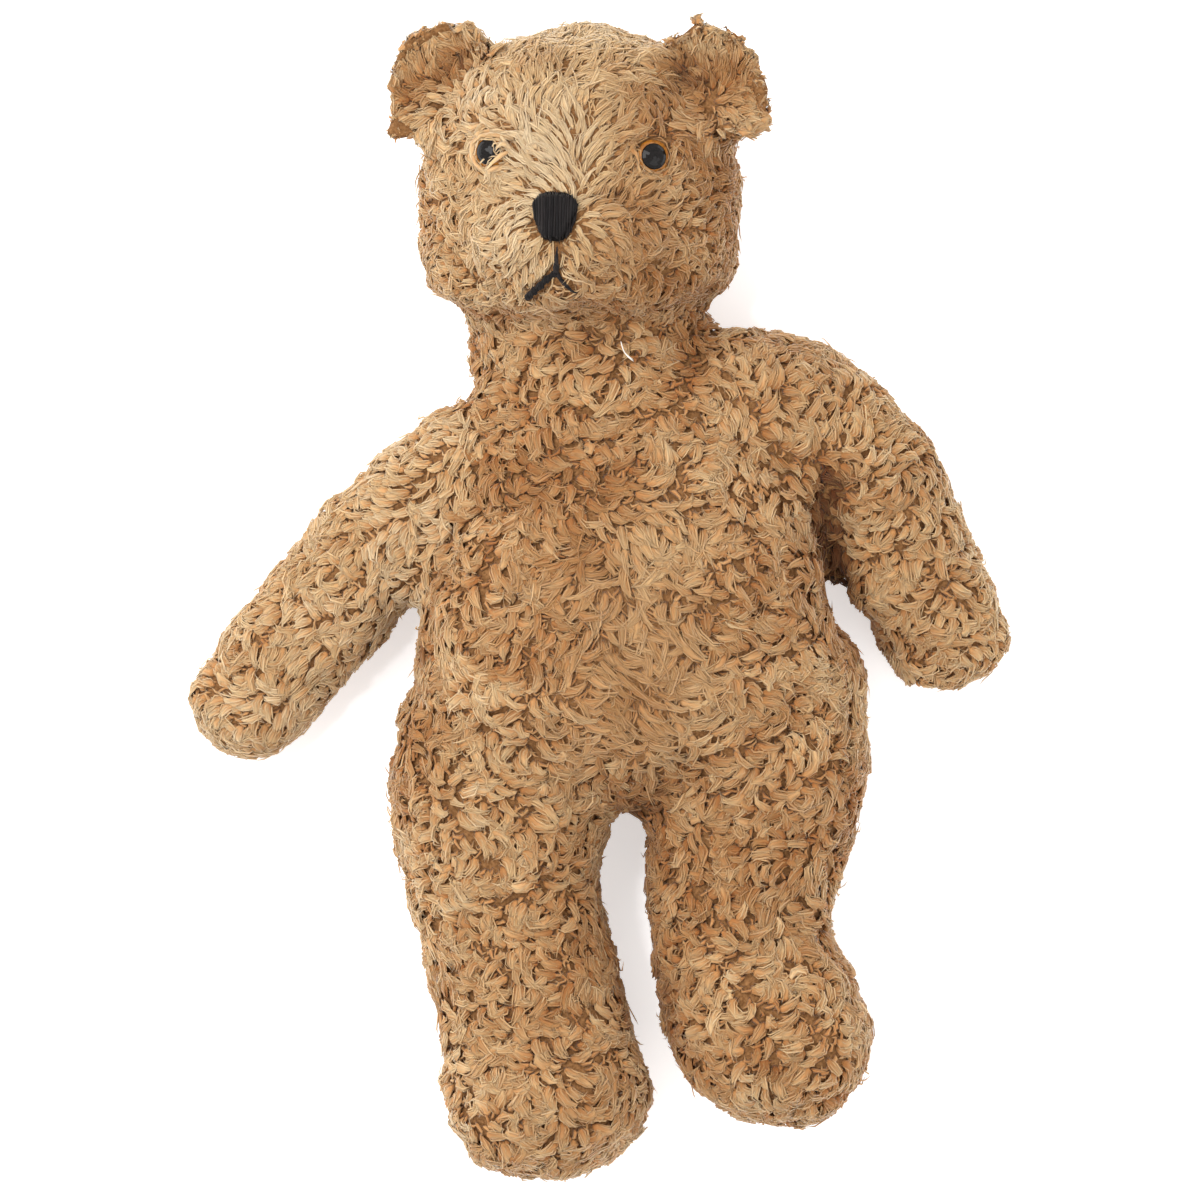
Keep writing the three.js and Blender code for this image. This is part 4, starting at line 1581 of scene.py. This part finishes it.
@dataclass
class Plush:
    """The sewn panels: each a closed sheet of backing cloth with its pile."""

    form: SoftForm
    layers: Sequence[Strands]
    backing: float = 1.1 * MM

    def build(self, materials: Sequence[bpy.types.Material]) -> None:
        """Args:
            materials: The finishes of the backing and the pile.
        """
        for number, node in enumerate(self.form.panels):
            soup = Soup()
            self.add_backing(soup, number)
            count = sum(layer.add_to(soup, number) for layer in self.layers)
            piece = soup.write(node.replace("_panel", "_plush"), materials)
            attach(piece, BODY)
            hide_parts(node)
            LOG.info("%s: %d strands, %d faces", piece.name, count, len(piece.data.polygons))

    def add_backing(self, soup: Soup, number: int) -> None:
        """Adds a panel's backing cloth as a thin closed sheet.

        Args:
            soup: The mesh being gathered.
            number: The panel's number.
        """
        quads = self.form.quads[self.form.panel_of == number]
        used, local = np.unique(quads, return_inverse=True)
        local = local.reshape(-1, 4)
        outer = self.form.points[used]
        normals = self.form.normals[used]
        inner = outer - normals * self.backing
        points = np.concatenate([outer, inner])
        blank = np.zeros_like(points)
        low, high = points.min(axis=0), points.max(axis=0)
        spread = (points - low) / (high - low)
        spots = np.stack([spread[:, 0] * 0.98 + 0.01, spread[:, 1] * 0.08 + 0.01], axis=1)
        first = soup.add_points(points, blank, blank, np.concatenate([normals, -normals]))
        count = len(outer)
        sides = np.stack([local, np.roll(local, -1, axis=1)], axis=2).reshape(-1, 2)
        key = np.sort(sides, axis=1) @ np.array([count, 1])
        _, place_of, times = np.unique(key, return_inverse=True, return_counts=True)
        rim = sides[times[place_of.reshape(-1)] == 1]
        wall = np.stack([rim[:, 1], rim[:, 0], rim[:, 0] + count, rim[:, 1] + count], axis=1)
        for faces in (local, local[:, ::-1] + count, wall):
            soup.add_faces(faces + first, 0, spots[faces])


# ---------------------------------------------------------------- the face


def along_path(points: Sequence[np.ndarray], count: int) -> np.ndarray:
    """Even stations on a smooth curve through a few points.

    Args:
        points: The points that shape the curve.
        count: How many stations it gets.

    Returns:
        The stations, one row each.
    """
    held = np.array(points)
    for _ in range(3):
        cut = np.empty((2 * len(held) - 2, 3))
        cut[0::2], cut[1::2] = held[:-1] * 0.75 + held[1:] * 0.25, held[:-1] * 0.25 + held[1:] * 0.75
        held = np.concatenate([held[:1], cut[1:-1], held[-1:]])
    run = np.concatenate([[0.0], np.cumsum(np.linalg.norm(np.diff(held, axis=0), axis=1))])
    places = np.linspace(0.0, run[-1], count)
    return np.stack([np.interp(places, run, held[:, axis]) for axis in range(3)], axis=1)


@dataclass
class Threads:
    """Threads that all have as many stations, gathered and then written as closed tubes of one piece."""

    sides: int
    band: tuple[float, float] = (0.0, 1.0)
    grain: float = 1.6
    paths: list[np.ndarray] = field(default_factory=list)
    radii: list[np.ndarray] = field(default_factory=list)

    def add(self, path: np.ndarray, radius: float | np.ndarray) -> None:
        """Adds one thread by its stations and its radius at each.

        Args:
            path: The stations.
            radius: The radius, one for all or one for each.
        """
        self.paths.append(path)
        self.radii.append(np.broadcast_to(radius, len(path)))

    def write(self, name: str, material: bpy.types.Material, seed: int) -> bpy.types.Object:
        """Makes the piece.

        Args:
            name: Its name.
            material: Its finish.
            seed: The seed of the threads' tints.

        Returns:
            The new object.
        """
        rng = np.random.default_rng(seed)
        centre, radius = np.stack(self.paths), np.stack(self.radii)
        count, cuts = radius.shape
        along = unit(np.gradient(centre, axis=1))
        side = unit(np.cross(along, UP + 1e-4))
        up = np.cross(side, along)
        angles = (2 * np.pi * np.arange(self.sides) / self.sides)[None, None, :]
        cosine, sine = np.cos(angles)[..., None], -np.sin(angles)[..., None]
        ring = side[:, 1:-1, None] * cosine + up[:, 1:-1, None] * sine
        ring = centre[:, 1:-1, None] + ring * radius[:, 1:-1, None, None]
        points = np.concatenate([centre[:, :1], ring.reshape(count, -1, 3), centre[:, -1:]], axis=1)
        u = np.concatenate([[0.0], np.repeat(np.linspace(0, 1, cuts)[1:-1], self.sides), [1.0]])
        turn = np.concatenate([[0.0], np.tile(angles.ravel(), cuts - 2), [0.0]])
        number = rng.random((count, 1))
        tint = np.broadcast_to(rng.random((count, 1)), (count, len(u)))
        lock = np.stack([np.broadcast_to(u, tint.shape), tint, tint], axis=2)
        shift = number * 90.0
        length = np.linalg.norm(centre[:, -1] - centre[:, 0], axis=1)[:, None] / (6 * MM)
        round_x = np.cos(turn)[None] * self.grain + shift
        round_y = np.sin(turn)[None] * self.grain + shift * 0.37
        fibre = np.stack([round_x, round_y, u[None] * length * 1.5 + shift * 0.71], axis=2)
        soup = Soup(softness=0.0)
        outs = points * 0 + UP
        first = soup.add_points(*(values.reshape(-1, 3) for values in (points, lock, fibre, outs)))
        starts = first + np.arange(count)[:, None] * points.shape[1]
        Tubes(self.sides, cuts - 2, self.band, 0).add_walls(soup, starts)
        piece = soup.write(name, [material])
        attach(piece, BODY)
        return piece


@dataclass
class Face:
    """The embroidered nose and mouth, and the loose thread at the neck.

    The nose is half_width and half_height from its middle to its edges, narrower by taper at the bottom,
    in columns of thread. The mouth's yarn turns once in every lay, and thickens and thins once in every
    bead. Both are sunk below the CAD's faces, because the pile's backing cloth lies below them too.
    """

    half_width: float = 7.9 * MM
    half_height: float = 9.1 * MM
    thread: float = 0.43 * MM
    taper: float = 0.14
    columns: int = 25
    nose_sunk: float = 1.5 * MM
    mouth_sunk: float = 2.2 * MM
    stations: int = 23
    lay: float = 4.2 * MM
    bead: float = 3.6 * MM
    stray_stations: int = 12

    def build(self) -> None:
        """Makes every stitch."""
        skin = [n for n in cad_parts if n.startswith(("nose", "mouth", "head"))]
        points, triangles, _ = node_arrays([n for n in skin if "stuffing" not in n])
        self.tree = BVHTree.FromPolygons(points.tolist(), triangles.tolist())
        eyes = (place("eye_left_iris", 0.5, 0.5, 0.5) - place("eye_right_iris", 0.5, 0.5, 0.5)) * FLAT
        self.across = unit(eyes)
        self.up = np.cross(UP, self.across)
        yarn = YarnFinish("black_yarn", linear(10, 9, 10), linear(42, 37, 36)).make()
        self.build_felt()
        self.build_nose(yarn)
        self.build_mouth(yarn)
        self.build_stray(YarnFinish("white_thread", linear(214, 206, 196), linear(250, 247, 240)).make())

    def nose_middle(self) -> np.ndarray:
        """The middle of the nose's outline."""
        return place("nose_patch", 0.5, 0.5, 1.0) - self.up * 0.5 * MM

    def nose_edges(self, across: float | np.ndarray) -> tuple[np.ndarray, np.ndarray]:
        """The upper and lower edges of the nose.

        Args:
            across: Where, from -1 at its right edge to 1 at its left edge.

        Returns:
            How far above and below the nose's middle the edges are.
        """
        size = np.abs(across)
        top = self.half_height * (1 - 0.42 * size**4)
        return top, -self.half_height * (1 - np.minimum(size, 0.97) ** 3) ** 0.6

    def build_felt(self) -> None:
        """Sets a closed felt pad under the nose's stitches, down to the backing cloth."""
        middle = self.nose_middle()
        share = np.linspace(-1.0, 1.0, 15)
        top, low = self.nose_edges(share)
        wide = np.concatenate([share, share[::-1] * (1 - self.taper)]) * self.half_width
        # each ring of the pad is a scale of the nose's outline, this many millimetres below its face
        levels = ((0.5, 0.6), (0.85, 1.0), (0.95, 2.4), (0.95, 6.0), (0.88, 11.0))
        spokes = self.across * wide[:, None] + self.up * np.concatenate([top, low[::-1]])[:, None]
        rings = []
        for scale, drop in levels:
            inner = middle + spokes * min(scale, 0.75)
            ring = middle + spokes * scale
            ring[:, 2] = dropped(self.tree, inner, -self.nose_sunk)[:, 2] - drop * MM
            rings.append(ring)
        count = len(spokes)
        points = np.concatenate([*rings, [rings[0].mean(axis=0), rings[-1].mean(axis=0)]])
        cap, base = len(points) - 2, count * (len(rings) - 1)
        faces: list[tuple[int, ...]] = []
        for i in range(count):
            after = (i + 1) % count
            faces.append((cap, after, i))
            faces += [(k + i, k + after, k + after + count, k + i + count) for k in range(0, base, count)]
            faces.append((cap + 1, base + i, base + after))
        piece = plain_object("nose_felt", points, faces)
        piece.data.materials.append(FeltFinish().make())
        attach(piece, BODY)

    def build_nose(self, material: bpy.types.Material) -> None:
        """Lays upright satin stitches over the nose, in two uneven layers.

        Args:
            material: The yarn's finish.
        """
        rng = np.random.default_rng(SEED + 60)
        middle = self.nose_middle()
        threads = Threads(5)
        share = np.linspace(0.0, 1.0, 9)
        for layer, count in ((-1.6, self.columns - 4), (0, self.columns), (1, self.columns - 8)):
            for s in np.linspace(-1.0, 1.0, count) + rng.normal(0, 0.012, count):
                s = float(np.clip(s, -1.0, 1.0))
                top, low = self.nose_edges(s)
                top, low = top + rng.normal(0, 0.25 * MM), low + rng.normal(0, 0.3 * MM)
                height = top + (low - top) * share
                slant = rng.normal(0, 0.35 * MM) * layer
                wide = self.half_width * s * (1 - self.taper * share) + slant * (share - 0.5)
                path = middle + self.across * wide[:, None] + self.up * height[:, None]
                path = dropped(self.tree, path, (0.25 + 0.35 * layer) * MM - self.nose_sunk)
                crown = np.interp(share, [0.0, 0.1, 0.9, 1.0], [-2.6, 0.0, 0.0, -2.6]) - 1.1 * abs(s) ** 5
                path[:, 2] += crown * MM
                threads.add(path, self.thread * rng.uniform(0.85, 1.2))
        piece = threads.write("nose_satin", material, SEED + 61)
        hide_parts("nose_patch")

    def build_mouth(self, material: bpy.types.Material) -> None:
        """Lays the three stitches of the mouth: a tapering middle one, a thick side and a thin one.

        Args:
            material: The yarn's finish.
        """
        join = place("mouth_centre_stitch", 0.3, -0.01, 0.9)
        top = place("mouth_centre_stitch", 0.75, 0.95, 1.0)
        thick, thin = place("mouth_right_stitch", 0.0, 0.0, 0.9), place("mouth_left_stitch", 1.0, 0.1, 0.9)
        bow = join + (thick - join) * 0.35 + self.up * 0.5 * MM
        dip = join + (thin - join) * 0.4 - self.up * 1.3 * MM
        turn_up = thin - self.across * 1.6 * MM
        lines = {
            "centre": ((top, join + self.up * 4 * MM, join), (0.22, 0.7, 1.35), 0.1),
            "right": ((join, bow, (join + thick) / 2, thick), (1.2, 1.35, 1.35), 0.2),
            "left": ((join, dip, turn_up, thin), (0.95, 0.75, 0.25), 0.05),
        }
        for number, (side, (points, widths, beads)) in enumerate(lines.items()):
            threads = Threads(6)
            path = dropped(self.tree, along_path(points, self.stations), 0.4 * MM - self.mouth_sunk)
            path[:, 2] = np.convolve(np.pad(path[:, 2], 2, "edge"), np.ones(5) / 5, "valid")
            path[[0, -1], 2] -= 1.0 * MM
            run = np.concatenate([[0.0], np.cumsum(np.linalg.norm(np.diff(path, axis=0), axis=1))])
            girth = np.interp(np.linspace(0, 1, self.stations), [0.0, 0.5, 1.0], widths) * MM
            girth = girth * (1 + beads * np.sin(run / self.bead * 2 * np.pi))
            along = unit(np.gradient(path, axis=0))
            across = unit(np.cross(along, UP))
            over = np.cross(across, along)
            for ply in range(3):
                angle = run / self.lay * 2 * np.pi + ply * 2 * np.pi / 3
                around = across * np.cos(angle)[:, None] + over * np.sin(angle)[:, None]
                threads.add(path + around * (girth * 0.48)[:, None], girth * 0.56)
            piece = threads.write(f"mouth_{side}_yarn", material, SEED + 62 + number)
            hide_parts(f"mouth_{side}_stitch")

    def build_stray(self, material: bpy.types.Material) -> None:
        """Lays the short white thread that lies loose on the pile below the chin.

        Args:
            material: The thread's finish.
        """
        start = place("torso_front_left_panel", 0.113, 0.958, 1.0)
        end = place("torso_front_left_panel", 0.163, 0.911, 1.0)
        bow = (start + end) / 2 - self.across * 1.2 * MM - self.up * 0.9 * MM
        names = [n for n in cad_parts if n.startswith("torso_front")]
        points, triangles, _ = node_arrays(names)
        tree = BVHTree.FromPolygons(points.tolist(), triangles.tolist())
        wave = 2.8 + 0.6 * np.sin(np.arange(self.stray_stations))
        path = dropped(tree, along_path((start, bow, end), self.stray_stations), wave * MM)
        frayed = self.up * np.linspace(0, 0.5, self.stray_stations)[:, None] * MM
        threads = Threads(5)
        threads.add(path, 0.2 * MM)
        threads.add(path + frayed, 0.14 * MM)
        piece = threads.write("stray_thread", material, SEED + 66)


# ---------------------------------------------------------------- wadding


@dataclass
class Wadding:
    """Loose wads of stuffing, one in each bag."""

    nodes: list[str]
    voxel: float = 6.0 * MM
    inset: float = 1.6 * MM
    lump: float = 0.7 * MM

    def build(self, material: bpy.types.Material) -> None:
        """Args:
            material: The wadding's finish.
        """
        for number, node in enumerate(self.nodes):
            soup, triangles, _ = node_arrays([node])
            points, quads = remeshed(soup, triangles, self.voxel)
            points = relaxed(points, edges_of(quads), 3)
            lumps = Waves(SEED + 40 + number, 26 * MM, 8 * MM).at(points)
            points = points - skin_normals(points, quads) * (self.inset - self.lump * lumps)[:, None]
            piece = plain_object(node.replace("_stuffing", "_wad"), points, quads)
            piece.data.materials.append(material)
            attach(piece, BODY)
            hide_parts(node)
            LOG.info("%s: %d faces", piece.name, len(quads))


# ---------------------------------------------------------------- studio


@dataclass
class Studio:
    """The pale floor, the soft lights and the camera that looks straight down."""

    turn: float = math.radians(5.77)
    aim: tuple[float, float] = (3.37 * MM, -2.74 * MM)
    middle: float = 45 * MM
    height: float = 7.0
    frame_width: float = 426 * MM
    floor_side: float = 12.0

    def build(self) -> None:
        """Makes everything that isn't part of the bear."""
        self.build_floor()
        self.build_lights()
        self.build_camera()

    def axes(self) -> tuple[np.ndarray, np.ndarray]:
        """The view's right and up directions on the floor."""
        cosine, sine = math.cos(self.turn), math.sin(self.turn)
        return np.array([cosine, -sine, 0.0]), np.array([sine, cosine, 0.0])

    def build_floor(self) -> None:
        """Lays the floor under the bear."""
        half = self.floor_side / 2
        corners = np.array([[-half, -half, 0], [half, -half, 0], [half, half, 0], [-half, half, 0]])
        floor = plain_object("studio_floor", corners, [[0, 1, 2, 3]])
        floor.data.materials.append(FloorFinish().make())

    def build_lights(self) -> None:
        """Hangs a large soft key at the upper left, a fill at the right, and lights the room evenly."""
        right, up = self.axes()
        self.lamp("key", -0.85 * right + 0.75 * up + 1.6 * UP, 1.3, 26.0)
        self.lamp("fill", 1.2 * right - 0.6 * up + 1.4 * UP, 1.6, 9.0)
        self.lamp("glint", -0.5 * right + 0.05 * up + 1.5 * UP, 0.12, 5.0)
        world = bpy.data.worlds.new("room")
        world.use_nodes = True
        world.node_tree.nodes["Background"].inputs["Color"].default_value = WHITE
        world.node_tree.nodes["Background"].inputs["Strength"].default_value = 0.95
        bpy.context.scene.world = world
        bpy.context.scene.view_settings.view_transform = "Standard"

    def lamp(self, name: str, where: np.ndarray, size: float, power: float) -> None:
        """Hangs one square lamp that faces the bear.

        Args:
            name: Its name.
            where: Where it hangs.
            size: Its side.
            power: Its power, in watts.
        """
        light = bpy.data.lights.new(name, "AREA")
        light.size = size
        light.energy = power
        made = bpy.data.objects.new(name, light)
        made.location = where.tolist()
        made.rotation_euler = Vector(where.tolist()).to_track_quat("Z", "Y").to_euler()
        bpy.context.scene.collection.objects.link(made)

    def build_camera(self) -> None:
        """Hangs the camera over the bear."""
        data = bpy.data.cameras.new("camera")
        data.sensor_width = 36.0
        data.lens = data.sensor_width * self.height / self.frame_width
        data.clip_start, data.clip_end = 0.05, 50.0
        made = bpy.data.objects.new("camera", data)
        made.location = (self.aim[0], self.aim[1], self.middle + self.height)
        made.rotation_euler = (0.0, 0.0, -self.turn)
        bpy.context.scene.collection.objects.link(made)
        bpy.context.scene.camera = made


def dress_hard_parts() -> None:
    """Gives the eyes' and the face's CAD nodes their finishes."""
    finishes = {
        "iris": AmberFinish().make(),
        "pupil_stem": BlackEyeFinish().make(),
        "washer": NylonFinish().make(),
        "nose_patch": FeltFinish().make(),
        "stitch": FeltFinish().make(),
    }
    for name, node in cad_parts.items():
        for ending, material in finishes.items():
            if name.endswith(ending):
                node.data.materials.clear()
                node.data.materials.append(material)


def main() -> None:
    """Builds the studio and every piece of the bear."""
    logging.basicConfig(level=logging.INFO, format="%(name)s: %(message)s")
    Studio().build()
    names = sorted(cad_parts)
    panels = [n for n in names if n.endswith("_panel")]
    wads = [n for n in names if n.endswith("_stuffing")]
    form = SoftForm(panels, wads)
    form.build()
    LOG.info("skin: %d faces", len(form.quads))
    locks = Locks(form, SEED)
    underfur = Locks(
        form, SEED + 7, spacing=2.5 * MM, spacing_under=5.0 * MM, group_spacing=12 * MM,
        length=7.0 * MM, rise=1.1 * MM, stations=4,
    )
    for kind in (locks, underfur):
        kind.build()
    # depth and low_side paint shade into every layer: darker roots and lower sides, and the underfur in the
    # deepest painted shade
    bodies = Strands(
        locks, SEED, band=(0.1, 0.4), wide=2.1 * MM, thick=0.5, cuts=(0.0, 0.2, 0.45, 0.7, 0.9, 1.0),
        sides=4, grain=4.0, low_side=0.45,
    )
    wisps = Strands(
        locks, SEED + 1, band=(0.4, 0.85), wide=0.24 * MM, thick=1.0, cuts=(0.0, 0.35, 0.72, 1.0),
        each=4, spread=2.4 * MM, dome=1.0 * MM, reach=(0.75, 1.25), wander=0.45 * MM, stray=0.05,
        depth=(0.3, 1.0),
    )
    fuzz = Strands(
        underfur, SEED + 2, band=(0.85, 1.0), wide=1.1 * MM, thick=0.6, cuts=(0.0, 0.35, 0.7, 1.0),
        grain=3.5, depth=(0.05, 0.5),
    )
    Plush(form, (bodies, wisps, fuzz)).build([BackingFinish().make(), PileFinish().make()])
    Wadding(wads).build(WaddingFinish().make())
    Face().build()
    dress_hard_parts()


if __name__ == "__main__":
    main()
